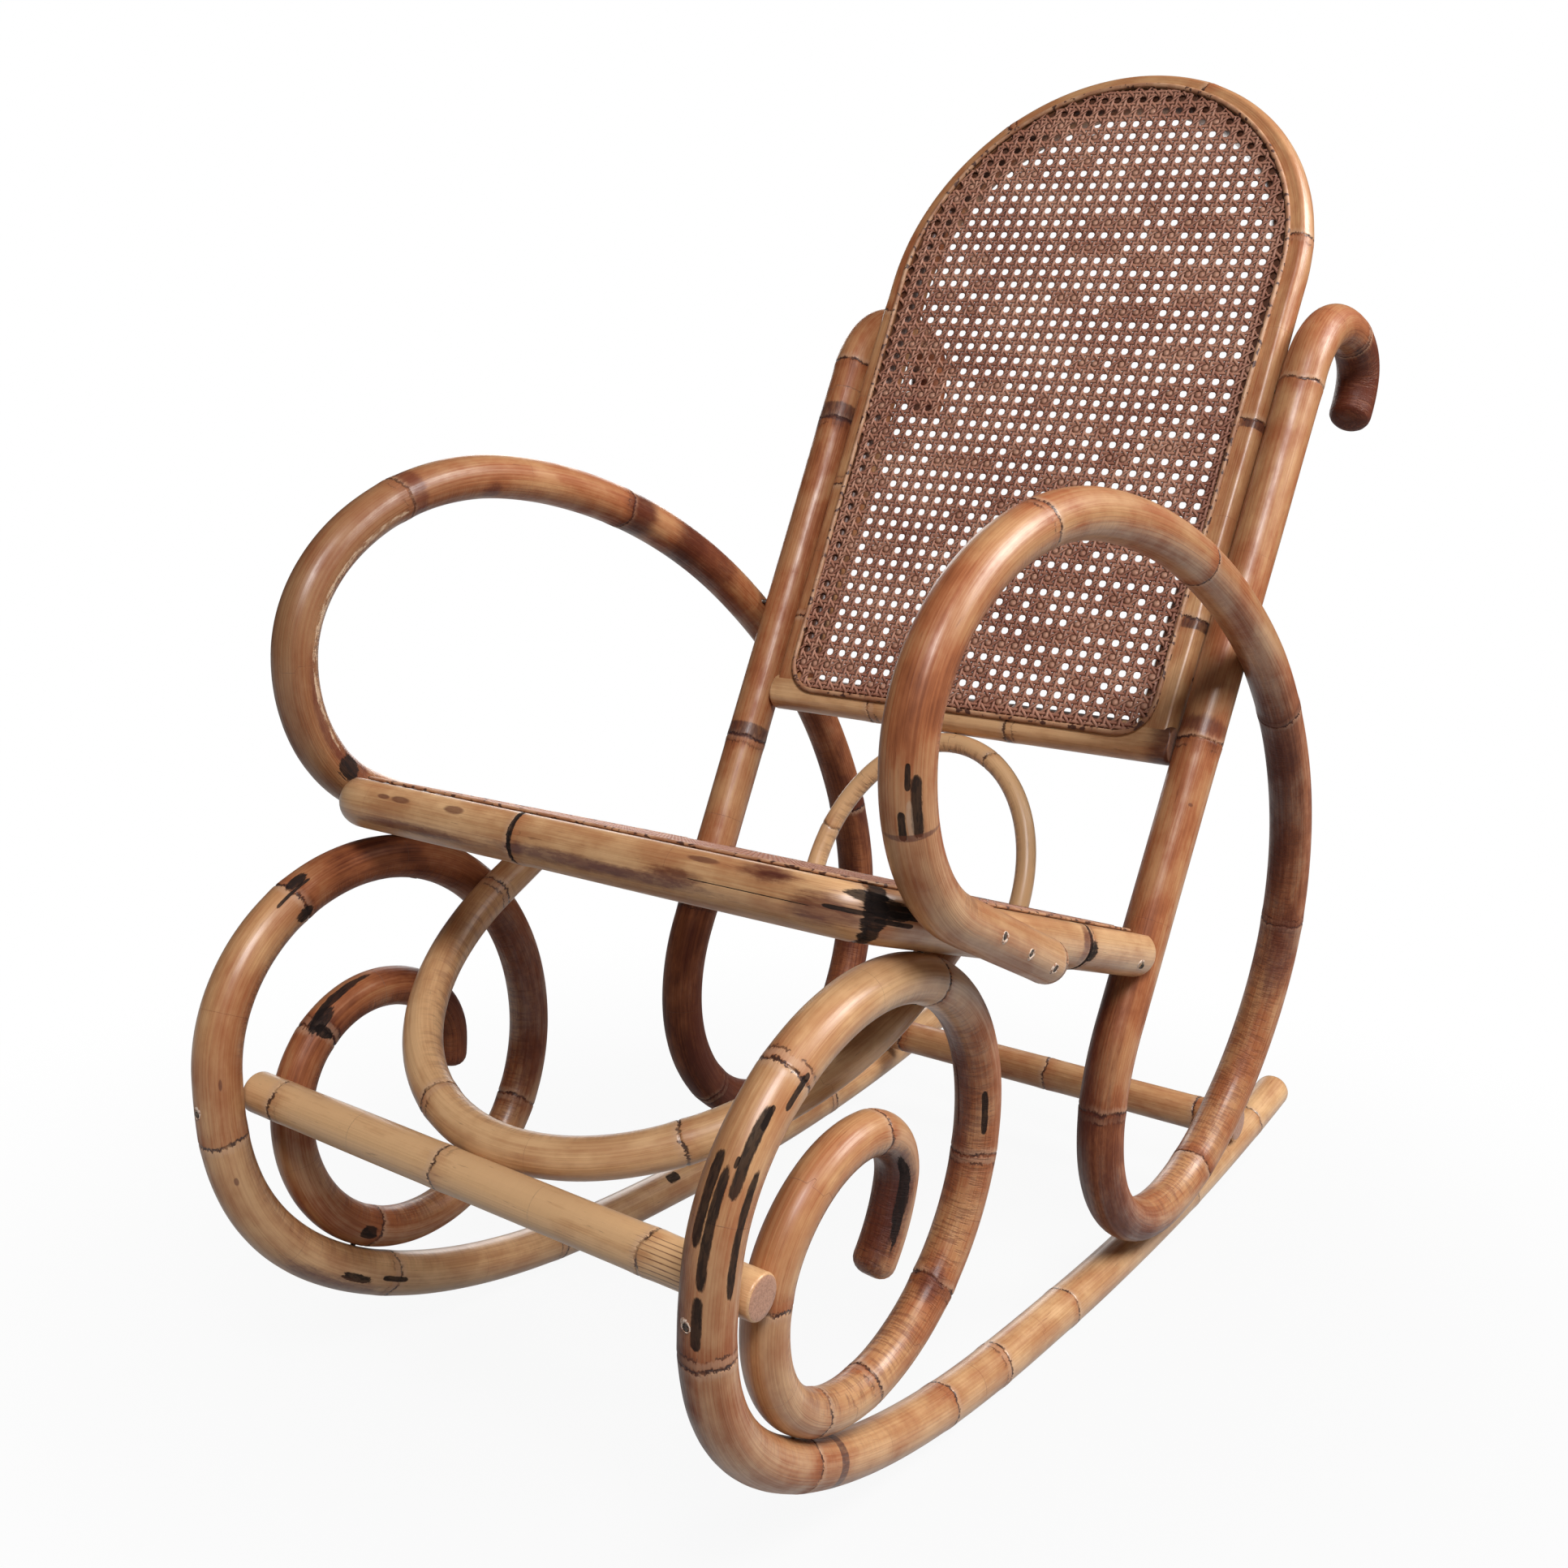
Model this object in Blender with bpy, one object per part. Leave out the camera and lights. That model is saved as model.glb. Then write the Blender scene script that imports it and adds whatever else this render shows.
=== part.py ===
"""Rattan rocking chair. Metres, +Z up, the chair faces -Y and stands on the floor at z = 0.

Every bent cane is one tube along a centre line. A centre line is drawn in the side view as a chain of
quarter turns between the points where the cane runs level or upright, and is then carried out to its x.
"""

import math

import bmesh
import bpy
from mathutils import Matrix, Vector

# Fits
GAP = 0.0003
CLEARANCE = 0.0003

# Cane diameters
RUNNER_D = 0.034
COIL_TIP_D = 0.029
POST_D = 0.038
ARM_TIP_D = 0.032
SEAT_D = 0.038
REAR_RAIL_D = 0.034
BACK_D = 0.034
FRONT_STRETCHER_D = 0.0295
REAR_STRETCHER_D = 0.0335
HOOP_D = 0.0285
THIN_ARCH_D = 0.0174

# Runner: worn flat at the contact point, a wide arc behind it
CONTACT_Y = -0.005
RUNNER_FLAT = 0.040
RUNNER_RADIUS = 2.54
RUNNER_TIP_Y = 0.525
RUNNER_INSET = 0.025
SCROLL_LEAN = math.radians(4.0)

# Scroll: where the cane runs upright or level as it curls in
RUNNER_FULLNESS = 2.5
SCROLL_FRONT_Y = -0.5035
SCROLL_FRONT_Z = 0.259
SCROLL_TOP_Y = -0.3545
SCROLL_REAR_Y = -0.194
SCROLL_REAR_Z = 0.2305
COIL_BOTTOM_Y = -0.325
COIL_FRONT_Y = -0.4425
COIL_FRONT_Z = 0.2085
COIL_TOP_Y = -0.358
COIL_TOP_Z = 0.2895
COIL_END_BEND = 0.1035

# The two coils end differently: where each runs upright at its inner end, and how far it turns on
LEFT_COIL_REAR_Y = -0.286
LEFT_COIL_REAR_Z = 0.236
LEFT_COIL_END_TURN = math.radians(14)
RIGHT_COIL_REAR_Y = -0.3035
RIGHT_COIL_REAR_Z = 0.243
RIGHT_COIL_END_TURN = math.radians(36)

# Seat frame
SEAT_FRONT_Y = -0.3805
SEAT_FRONT_Z = 0.4385
SEAT_TILT = math.radians(15.2)
SEAT_HALF_WIDTH = 0.2225
SEAT_CORNER = 0.030

# Post, foot loop and back hook. The loop and the runner stand inside the seat rail by their insets
LOOP_INSET = 0.010
LOOP_X = SEAT_HALF_WIDTH - LOOP_INSET
RUNNER_X = SEAT_HALF_WIDTH - RUNNER_INSET
POST_SPLAY = math.radians(1.47)
POST_RECLINE = math.radians(25.0)
POST_BEND = 0.156
LOOP_FRONT_Y = 0.0217
LOOP_FRONT_Z = 0.196
LOOP_BOTTOM_Y = 0.1745
LOOP_REAR_Y = 0.3575
LOOP_REAR_Z = 0.258
HOOK_TOP_Z = 0.842
HOOK_BEND = 0.081
HOOK_REACH = 0.081
HOOK_DROP = 0.043
HOOK_END_BEND = 0.060
HOOK_END_TURN = math.radians(40)

# Arm
ARM_FULLNESS = 1.83
ARM_BOW = 0.3
ARM_TOP_Y = -0.1955
ARM_TOP_OVER_SEAT = 0.235
ARM_FRONT_Y = -0.4005
TAIL_BEND = 0.1175
TAIL_SLOPE = math.radians(22.7)
TAIL_LEAD = 0.044
TAIL_LENGTH = 0.147
TAIL_SCREWS = 3
TAIL_SCREW_PITCH = 0.044
TAIL_END_MARGIN = 0.022

# Back frame, measured along the reclined posts
BACK_OVER_SEAT = 0.176
BACK_STRAIGHT = 0.442
BACK_ARCH_RISE = 0.203
BACK_CORNER = 0.030
BACK_SCREW_HEIGHTS = (0.060, 0.330)

# Stretchers, leg hoop and thin arch. An overhang is how far a stretcher passes the runner's axis
FRONT_STRETCHER_LEFT_Z = 0.2395
FRONT_STRETCHER_RIGHT_Z = 0.2305
FRONT_STRETCHER_LEFT_OVERHANG = 0.001
FRONT_STRETCHER_RIGHT_OVERHANG = 0.014
REAR_STRETCHER_Y = 0.3715
REAR_STRETCHER_OVERHANG = 0.0173
HOOP_SEAT_ANGLE = math.radians(31)
HOOP_SCROLL_ROOM = 0.0004
HOOP_TURN_Y = -0.254
HOOP_END_Y = -0.2
HOOP_RAIL_ANGLE = math.radians(5)
THIN_ARCH_HALF_WIDTH = 0.104

# Cane panels and the reed beads round them
LAND_DEPTH = 0.003
PANEL_THICKNESS = 0.0025
BEAD_D = 0.0045
OPENINGS_ACROSS = 12
OPENING_SHARE = 0.52
OPENING_MARGIN = 0.011

# Screws and dowels. A bite is how far a screw goes past the inner cane's axis, in radii of that cane
SHANK_D = 0.004
HEAD_D = 0.008
HEAD_HEIGHT = 0.0022
HEAD_SINK = 0.0006
SCREW_BITE = 0.2
TAIL_SCREW_BITE = -0.3
DOWEL_D = 0.008
DOWEL_LENGTH = 0.024
PEG_LENGTH = 0.022
THIN_PEG_D = 0.005
SEAT_POST_SCREW_AHEAD = 0.0265
SEAT_POST_SCREW_TURN = math.radians(45)

# Tube facets
CANE_SIDES = 8
BEAD_SIDES = 6
TURN_STEPS = 6
SHARP_FROM = math.radians(65)

# Finishes: colour, roughness, metallic
HONEY = ((0.47, 0.24, 0.095, 1.0), 0.38, 0.0)
PALE = ((0.55, 0.31, 0.13, 1.0), 0.40, 0.0)
RUSSET = ((0.36, 0.15, 0.065, 1.0), 0.36, 0.0)
WEAVE = ((0.33, 0.15, 0.075, 1.0), 0.55, 0.0)
REED = ((0.40, 0.19, 0.08, 1.0), 0.50, 0.0)
STEEL = ((0.45, 0.42, 0.38, 1.0), 0.45, 1.0)
BEECH = ((0.62, 0.43, 0.26, 1.0), 0.60, 0.0)

SIDES = (("left", -1), ("right", 1))


# Centre lines in the side view
def quarter_turn(start, end, level_first, steps=TURN_STEPS, fullness=2.0):
    """Points after start up to end of a quarter turn that leaves start level or upright."""
    points = []
    for step in range(1, steps + 1):
        angle = 0.5 * math.pi * step / steps
        early = math.sin(angle) ** (2 / fullness)
        late = 1 - max(math.cos(angle), 0.0) ** (2 / fullness)
        along, across = (early, late) if level_first else (late, early)
        points.append((start[0] + (end[0] - start[0]) * along, start[1] + (end[1] - start[1]) * across))
    return points


def arc(start, heading, radius, turn, steps):
    """Points after start of an arc. A heading is measured from +Z towards +Y, and so is a turn."""
    side = math.copysign(1, turn)
    centre = (start[0] + side * radius * math.cos(heading), start[1] - side * radius * math.sin(heading))
    points = []
    for step in range(1, steps + 1):
        now = heading + turn * step / steps
        points.append((centre[0] - side * radius * math.cos(now), centre[1] + side * radius * math.sin(now)))
    return points


def straight(start, heading, length, steps):
    """Points after start along a straight stretch."""
    ahead = (math.sin(heading), math.cos(heading))
    return [(start[0] + ahead[0] * length * s / steps, start[1] + ahead[1] * length * s / steps)
            for s in range(1, steps + 1)]


def between(a, b, share):
    return a + (b - a) * share


def path_length(points):
    return sum(math.dist(a, b) for a, b in zip(points, points[1:]))


def tapered(points, start_d, end_d, taper_from):
    """Radius at each point: even up to the point numbered taper_from, then an even taper."""
    whole = path_length(points[taper_from:])
    radii = []
    for i in range(len(points)):
        share = path_length(points[taper_from:i + 1]) / whole if i > taper_from else 0.0
        radii.append(between(start_d, end_d, share) / 2)
    return radii


def nearest(point, path):
    """The point of a path that is nearest to a point."""
    best = path[0]
    for a, b in zip(path, path[1:]):
        along = b - a
        share = min(max((point - a).dot(along) / along.length_squared, 0.0), 1.0)
        found = a + along * share
        if (found - point).length < (best - point).length:
            best = found
    return best


def room(path, radii, other, other_radius):
    """Least free distance between two canes."""
    return min((nearest(p, other) - p).length - r - other_radius for p, r in zip(path, radii))


def settle(free, low, high):
    """The value between low, where there is room, and high, where there is none, that leaves GAP."""
    for _ in range(40):
        middle = (low + high) / 2
        if free(middle) > GAP:
            low = middle
        else:
            high = middle
    return low


def mirrored(points, side):
    return [Vector((side * p.x, p.y, p.z)) for p in points]


# Seat plane
def seat_z(y):
    """Height of the seat frame's axis plane."""
    return SEAT_FRONT_Z - math.tan(SEAT_TILT) * (y - SEAT_FRONT_Y)


# Runner and scroll
def scroll_x(z):
    return RUNNER_X + (z - RUNNER_D / 2) * math.tan(SCROLL_LEAN)


def runner_rear(steps=9):
    """The runner from its rear tip to the front of its worn flat."""
    flat_rear, flat_front = CONTACT_Y + RUNNER_FLAT / 2, CONTACT_Y - RUNNER_FLAT / 2
    points = []
    for step in range(steps + 1):
        y = between(RUNNER_TIP_Y, flat_rear, step / steps)
        rise = RUNNER_RADIUS - math.sqrt(RUNNER_RADIUS ** 2 - (y - flat_rear) ** 2)
        points.append((y, RUNNER_D / 2 + rise))
    return points + [(flat_front, RUNNER_D / 2)]


COIL_ENDS = {
    "left": (LEFT_COIL_REAR_Y, LEFT_COIL_REAR_Z, LEFT_COIL_END_TURN),
    "right": (RIGHT_COIL_REAR_Y, RIGHT_COIL_REAR_Z, RIGHT_COIL_END_TURN),
}


def scroll_profile(side, top_z, bottom_z):
    """Side view of the whole runner and scroll cane, and the number of the point where its taper starts."""
    front = (SCROLL_FRONT_Y, SCROLL_FRONT_Z)
    top = (SCROLL_TOP_Y, top_z)
    rear = (SCROLL_REAR_Y, SCROLL_REAR_Z)
    bottom = (COIL_BOTTOM_Y, bottom_z)
    coil_front = (COIL_FRONT_Y, COIL_FRONT_Z)
    coil_top = (COIL_TOP_Y, COIL_TOP_Z)
    *coil_rear, end_turn = COIL_ENDS[side]
    points = runner_rear()
    points += quarter_turn(points[-1], front, True, 12, RUNNER_FULLNESS)
    taper_from = len(points) - 1
    points += quarter_turn(front, top, False)
    points += quarter_turn(top, rear, True)
    points += quarter_turn(rear, bottom, False)
    points += quarter_turn(bottom, coil_front, True)
    points += quarter_turn(coil_front, coil_top, False)
    points += quarter_turn(coil_top, coil_rear, True, 4)
    points += arc(coil_rear, math.pi, COIL_END_BEND, end_turn, 4)
    return points, taper_from


def lean(points):
    return [Vector((scroll_x(z), y, z)) for y, z in points]


def scroll_cane(side):
    """Centre line and radii of a runner, with its coil on the runner and its top under the seat, at +X."""
    rail = [Vector((SEAT_HALF_WIDTH, y, seat_z(y))) for y in (SEAT_FRONT_Y, LOOP_FRONT_Y)]
    first_try = COIL_TOP_Z - (COIL_FRONT_Z - RUNNER_D)

    def room_over(top_z):
        profile, start = scroll_profile(side, top_z, first_try)
        return room(lean(profile), tapered(profile, RUNNER_D, COIL_TIP_D, start), rail, SEAT_D / 2)

    top_z = settle(room_over, SCROLL_FRONT_Z + RUNNER_D, SEAT_FRONT_Z)

    def room_under(bottom_z):
        profile, start = scroll_profile(side, top_z, bottom_z)
        path = lean(profile)
        radii = tapered(profile, RUNNER_D, COIL_TIP_D, start)
        coil = slice(start + 3 * TURN_STEPS - 3, start + 4 * TURN_STEPS + 1)
        return room(path[coil], radii[coil], path[:start + 1], RUNNER_D / 2)

    bottom_z = settle(room_under, COIL_FRONT_Z - RUNNER_D / 2, RUNNER_D / 2)
    profile, start = scroll_profile(side, top_z, bottom_z)
    return lean(profile), tapered(profile, RUNNER_D, COIL_TIP_D, start), start


SCROLLS = {side: scroll_cane(side) for side, sign in SIDES}
SCROLL_START = SCROLLS["right"][2]
RUNNER = SCROLLS["right"][0][:SCROLL_START + 1]
STRAND = SCROLLS["right"][0][SCROLL_START - 6:SCROLL_START + 5]


# Post, loop and arm
def post_line_y(z):
    """Where the straight post stands at a height."""
    foot_y = LOOP_FRONT_Y + POST_BEND * (1 - math.cos(POST_RECLINE))
    foot_z = LOOP_FRONT_Z + POST_BEND * math.sin(POST_RECLINE)
    return foot_y + (z - foot_z) * math.tan(POST_RECLINE)


def post_profile(bottom_z):
    """Side view of the hook, post and loop front, from the hook's end to the loop's bottom."""
    loop_front = (LOOP_FRONT_Y, LOOP_FRONT_Z)
    up = [loop_front] + arc(loop_front, 0.0, POST_BEND, POST_RECLINE, 4)
    hook_foot_z = HOOK_TOP_Z - HOOK_BEND * (1 - math.sin(POST_RECLINE))
    up += straight(up[-1], POST_RECLINE, (hook_foot_z - up[-1][1]) / math.cos(POST_RECLINE), 6)
    up += arc(up[-1], POST_RECLINE, HOOK_BEND, math.pi / 2 - POST_RECLINE, 5)
    hook_rear = (up[-1][0] + HOOK_REACH, up[-1][1] - HOOK_DROP)
    up += quarter_turn(up[-1], hook_rear, True)
    up += arc(hook_rear, math.pi, HOOK_END_BEND, HOOK_END_TURN, 3)
    return up[::-1] + quarter_turn(loop_front, (LOOP_BOTTOM_Y, bottom_z), False, 7)


def tail_start():
    """Where the arm's straight tail starts, so that it crosses the seat rail TAIL_LEAD further on."""
    y = ARM_FRONT_Y + TAIL_BEND * (1 - math.sin(TAIL_SLOPE))
    return y, seat_z(y + TAIL_LEAD) + TAIL_LEAD * math.tan(TAIL_SLOPE)


def arm_profile(bottom_z):
    """Side view of the loop's rear, the arm and its tail, and how many points each stretch has."""
    arm_top = (ARM_TOP_Y, SEAT_FRONT_Z + ARM_TOP_OVER_SEAT)
    loop_rear = (LOOP_REAR_Y, LOOP_REAR_Z)
    tail_y, tail_z = tail_start()
    arm_front = (ARM_FRONT_Y, tail_z + TAIL_BEND * math.cos(TAIL_SLOPE))
    points = quarter_turn((LOOP_BOTTOM_Y, bottom_z), loop_rear, True, 7)
    points += quarter_turn(loop_rear, arm_top, False, 12, ARM_FULLNESS)
    points += quarter_turn(arm_top, arm_front, True)
    points += arc(arm_front, math.pi, TAIL_BEND, TAIL_SLOPE - math.pi / 2, 5)
    points += straight((tail_y, tail_z), math.pi / 2 + TAIL_SLOPE, TAIL_LENGTH, 3)
    return points


def loop_bottom_z():
    """Height at which the loop rests on the runner beside it."""
    def room_over(height):
        point = Vector((LOOP_X, LOOP_BOTTOM_Y, height))
        return room([point], [POST_D / 2], RUNNER, RUNNER_D / 2)

    return settle(room_over, RUNNER_D + 2 * POST_D, RUNNER_D)


def post_cane():
    """Centre line and radii of the right post and arm, and the place where the arm crosses the post."""
    bottom_z = loop_bottom_z()
    post = post_profile(bottom_z)
    arm = arm_profile(bottom_z)
    radii = tapered(post + arm, POST_D, ARM_TIP_D, len(post) + 6)
    first = next(i for i, p in enumerate(arm) if i > 6 and p[0] < post_line_y(p[1]))
    cross_z = (arm[first - 1][1] + arm[first][1]) / 2
    post_x = LOOP_X + (cross_z - bottom_z) * math.tan(POST_SPLAY)
    cross_x = post_x + POST_D / 2 + radii[len(post) + first] + GAP
    tail_x = SEAT_HALF_WIDTH + SEAT_D / 2 + radii[-4] + GAP
    path = [Vector((LOOP_X + (z - bottom_z) * math.tan(POST_SPLAY), y, z)) for y, z in post]
    foremost = min(range(len(arm)), key=lambda i: arm[i][0])
    for i, (y, z) in enumerate(arm):
        rise = min((z - bottom_z) / (cross_z - bottom_z), 1.0)
        x = between(LOOP_X, cross_x, rise * (1 + ARM_BOW - ARM_BOW * rise * rise))
        if i >= first:
            x = between(cross_x, tail_x, (arm[first][0] - y) / (arm[first][0] - arm[foremost][0]))
        if i >= foremost:
            x = tail_x
        path.append(Vector((x, y, z)))
    return path, radii, len(post), len(post) + first


POST, POST_RADII, ARM_START, ARM_CROSS = post_cane()
TAIL = POST[-4:]


def post_axis(z):
    """The straight post's axis point at a height, on the right."""
    return Vector((LOOP_X + (z - loop_bottom_z()) * math.tan(POST_SPLAY), post_line_y(z), z))


# Seat rear rail: between the posts, its crown level with the seat frame's
REAR_RISE = (SEAT_D - REAR_RAIL_D) / 2


def rear_rail_z():
    low, high = LOOP_FRONT_Z, SEAT_FRONT_Z
    for _ in range(40):
        middle = (low + high) / 2
        if seat_z(post_line_y(middle)) + REAR_RISE / math.cos(SEAT_TILT) > middle:
            low = middle
        else:
            high = middle
    return low


REAR_RAIL = post_axis(rear_rail_z())
SEAT_DEPTH = ((REAR_RAIL.y - SEAT_FRONT_Y) * math.cos(SEAT_TILT)
              - (REAR_RAIL.z - SEAT_FRONT_Z) * math.sin(SEAT_TILT))
BACK_FOOT = REAR_RAIL + Vector((0, math.sin(POST_RECLINE), math.cos(POST_RECLINE))) * BACK_OVER_SEAT


# Mesh helpers
def clear_scene():
    for old in list(bpy.data.objects):
        bpy.data.objects.remove(old, do_unlink=True)


def finish(name, finish_values):
    colour, roughness, metallic = finish_values
    material = bpy.data.materials.new(name)
    material.use_nodes = True
    shader = material.node_tree.nodes["Principled BSDF"]
    shader.inputs["Base Color"].default_value = colour
    shader.inputs["Roughness"].default_value = roughness
    shader.inputs["Metallic"].default_value = metallic
    material.diffuse_color = colour
    return material


def place(obj, parent, finish_values=None):
    bpy.context.scene.collection.objects.link(obj)
    obj.parent = parent
    if finish_values:
        obj.data.materials.append(finish(obj.name, finish_values))
    return obj


def shade_round(mesh):
    """Smooth shading, with the rims kept sharp."""
    mesh.shade_smooth()
    mesh.set_sharp_from_angle(angle=SHARP_FROM)


def tube_mesh(name, path, radii, sides=CANE_SIDES, ring=False):
    """A closed tube along a path, swept by a bevelled curve and turned into a mesh."""
    curve = bpy.data.curves.new(name, "CURVE")
    curve.dimensions = "3D"
    curve.bevel_depth = radii[0]
    curve.bevel_resolution = int(sides - 4) // 2
    curve.use_fill_caps = not ring
    spline = curve.splines.new("POLY")
    spline.points.add(len(path) - 1)
    for point, centre, radius in zip(spline.points, path, radii):
        point.co = (*centre, 1.0)
        point.radius = radius / radii[0]
    spline.use_cyclic_u = ring
    sweep = bpy.data.objects.new(name, curve)
    bpy.context.scene.collection.objects.link(sweep)
    mesh = bpy.data.meshes.new_from_object(sweep.evaluated_get(bpy.context.evaluated_depsgraph_get()))
    bpy.data.objects.remove(sweep, do_unlink=True)
    work = bmesh.new()
    work.from_mesh(mesh)
    bmesh.ops.remove_doubles(work, verts=work.verts, dist=0.00001)
    bmesh.ops.recalc_face_normals(work, faces=work.faces)
    work.to_mesh(mesh)
    work.free()
    shade_round(mesh)
    mesh.name = name
    return mesh


def tube(name, path, radii, parent, finish_values, sides=CANE_SIDES, ring=False):
    obj = bpy.data.objects.new(name, tube_mesh(name, path, radii, sides, ring))
    return place(obj, parent, finish_values)


def even(path, diameter):
    return [diameter / 2] * len(path)


def plate(name, outline, base, thickness, parent, finish_values):
    """A flat plate from an outline in x and y, standing on z = base."""
    work = bmesh.new()
    face = work.faces.new([work.verts.new((x, y, base)) for x, y in outline])
    made = bmesh.ops.extrude_face_region(work, geom=[face])["geom"]
    top = [v for v in made if isinstance(v, bmesh.types.BMVert)]
    bmesh.ops.translate(work, verts=top, vec=(0, 0, thickness))
    bmesh.ops.recalc_face_normals(work, faces=work.faces)
    mesh = bpy.data.meshes.new(name)
    work.to_mesh(mesh)
    work.free()
    return place(bpy.data.objects.new(name, mesh), parent, finish_values)


def lathe(work, profile, matrix, segments=8):
    """Adds a turned solid to a bmesh: profile holds (radius, height) from axis to axis."""
    ends = [work.verts.new((0, 0, z)) for r, z in (profile[0], profile[-1])]
    rings = []
    for radius, z in profile[1:-1]:
        angles = [2 * math.pi * k / segments for k in range(segments)]
        rings.append([work.verts.new((radius * math.cos(a), radius * math.sin(a), z)) for a in angles])
    for k in range(segments):
        m = (k + 1) % segments
        work.faces.new((ends[0], rings[0][m], rings[0][k]))
        work.faces.new((ends[1], rings[-1][k], rings[-1][m]))
        for a, b in zip(rings, rings[1:]):
            work.faces.new((a[k], a[m], b[m], b[k]))
    made = ends + [v for ring in rings for v in ring]
    bmesh.ops.transform(work, matrix=matrix, verts=made)


def bore(obj, cutter):
    """Cuts another object, hidden from renders, out of this one."""
    cut = obj.modifiers.new(cutter.name, "BOOLEAN")
    cut.operation = "DIFFERENCE"
    cut.solver = "EXACT"
    cut.object = cutter


def inside(x, y, outline):
    """Whether a place lies inside a closed outline: a line to one side crosses an odd number of its edges."""
    crossings = 0
    for (x1, y1), (x2, y2) in zip(outline, outline[1:] + outline[:1]):
        if (y1 > y) != (y2 > y) and x < x1 + (x2 - x1) * (y - y1) / (y2 - y1):
            crossings += 1
    return crossings % 2 == 1


def open_weave(panel, outline, base, parent):
    """Cuts a plain grid of square openings into a panel, clear of its edge. They stand for the fine weave."""
    low_y, high_y = min(y for x, y in outline), max(y for x, y in outline)
    pitch = 2 * (max(x for x, y in outline) - OPENING_MARGIN) / (OPENINGS_ACROSS + 1 - OPENING_SHARE)
    half = pitch * OPENING_SHARE / 2
    rows = int((high_y - low_y - 2 * (OPENING_MARGIN + half)) / pitch) + 1
    reach = half + OPENING_MARGIN * 0.9
    work = bmesh.new()
    for column in range(OPENINGS_ACROSS):
        for row in range(rows):
            x = (column - (OPENINGS_ACROSS - 1) / 2) * pitch
            y = (low_y + high_y) / 2 + (row - (rows - 1) / 2) * pitch
            if all(inside(x + a * reach, y + b * reach, outline) for a in (-1, 1) for b in (-1, 1)):
                peg = Matrix.Translation((x, y, base + PANEL_THICKNESS / 2))
                peg = peg @ Matrix.Diagonal((2 * half, 2 * half, 3 * PANEL_THICKNESS, 1))
                bmesh.ops.create_cube(work, size=1.0, matrix=peg)
    mesh = bpy.data.meshes.new(panel.name + "_openings")
    work.to_mesh(mesh)
    work.free()
    bore(panel, hide(place(bpy.data.objects.new(mesh.name, mesh), parent)))


def hide(obj):
    obj.hide_render = True
    obj.display_type = "WIRE"
    return obj


# Fasteners
class Fasteners:
    """Screws and dowels, and the holes that each piece needs for them."""

    def __init__(self, parent):
        self.parent = parent
        self.holes = {}

    def turned(self, name, profile, start, ahead, finish_values):
        """One turned piece with its axis along its own z, set at start and pointing ahead."""
        work = bmesh.new()
        lathe(work, profile, Matrix())
        mesh = bpy.data.meshes.new(name)
        work.to_mesh(mesh)
        work.free()
        shade_round(mesh)
        piece = place(bpy.data.objects.new(name, mesh), self.parent, finish_values)
        piece.location = start
        piece.rotation_euler = ahead.to_track_quat("Z", "Y").to_euler()
        return piece

    def need(self, hole, start, ahead, pieces):
        for piece in pieces:
            self.holes.setdefault(piece, []).append((hole, start, ahead))

    def screw(self, name, outer, outer_reach, inner, inner_radius, pieces, bite=SCREW_BITE):
        """A screw whose head is sunk in the outer piece, outer_reach before its axis point."""
        ahead = (inner - outer).normalized()
        start = outer - ahead * (outer_reach - HEAD_SINK - HEAD_HEIGHT)
        length = (inner - start).length + inner_radius * bite
        shank, head, point = SHANK_D / 2, HEAD_D / 2, length - SHANK_D
        profile = [(0, -HEAD_HEIGHT), (head, -HEAD_HEIGHT), (head, 0)]
        profile += [(shank, 0), (shank, point), (0, length)]
        self.turned(name, profile, start, ahead, STEEL)
        wide, narrow, top, end = head + CLEARANCE, shank + CLEARANCE, -outer_reach, length + CLEARANCE
        hole = [(0, top), (wide, top), (wide, CLEARANCE), (narrow, CLEARANCE), (narrow, end), (0, end)]
        self.need(hole, start, ahead, pieces)

    def dowel(self, name, middle, ahead, length, diameter, pieces):
        """A wooden peg, half in each of two pieces."""
        ahead = ahead.normalized()
        start = middle - ahead * length / 2
        radius = diameter / 2
        wide, end = radius + CLEARANCE, length + CLEARANCE
        self.turned(name, [(0, 0), (radius, 0), (radius, length), (0, length)], start, ahead, BEECH)
        hole = [(0, -CLEARANCE), (wide, -CLEARANCE), (wide, end), (0, end)]
        self.need(hole, start, ahead, pieces)

    def drill(self):
        """Cuts each piece's holes out of it with one hidden cutter."""
        for piece, holes in self.holes.items():
            work = bmesh.new()
            for profile, start, ahead in holes:
                turn = ahead.to_track_quat("Z", "Y").to_matrix().to_4x4()
                lathe(work, profile, Matrix.Translation(start) @ turn)
            mesh = bpy.data.meshes.new(piece + "_holes")
            work.to_mesh(mesh)
            work.free()
            bore(bpy.data.objects[piece], hide(place(bpy.data.objects.new(mesh.name, mesh), self.parent)))


# Pieces
def build_side_canes(chair):
    for side, sign in SIDES:
        path, radii, start = SCROLLS[side]
        tube(f"runner_scroll_{side}", mirrored(path, sign), radii, chair, PALE)
        tube(f"post_arm_{side}", mirrored(POST, sign), POST_RADII, chair, RUSSET)


def post_cutter(chair):
    """Both posts near the seat, grown by the clearance, for the pieces that are shaped round them."""
    cutters = []
    diameter = (POST_D + 2 * CLEARANCE) / math.cos(math.pi / CANE_SIDES)
    for side, sign in SIDES:
        path = mirrored([post_axis(REAR_RAIL.z - 2 * POST_D), post_axis(BACK_FOOT.z + 2 * POST_D)], sign)
        cutters.append(hide(tube(f"post_clearance_{side}", path, even(path, diameter), chair, RUSSET)))
    return cutters


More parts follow.
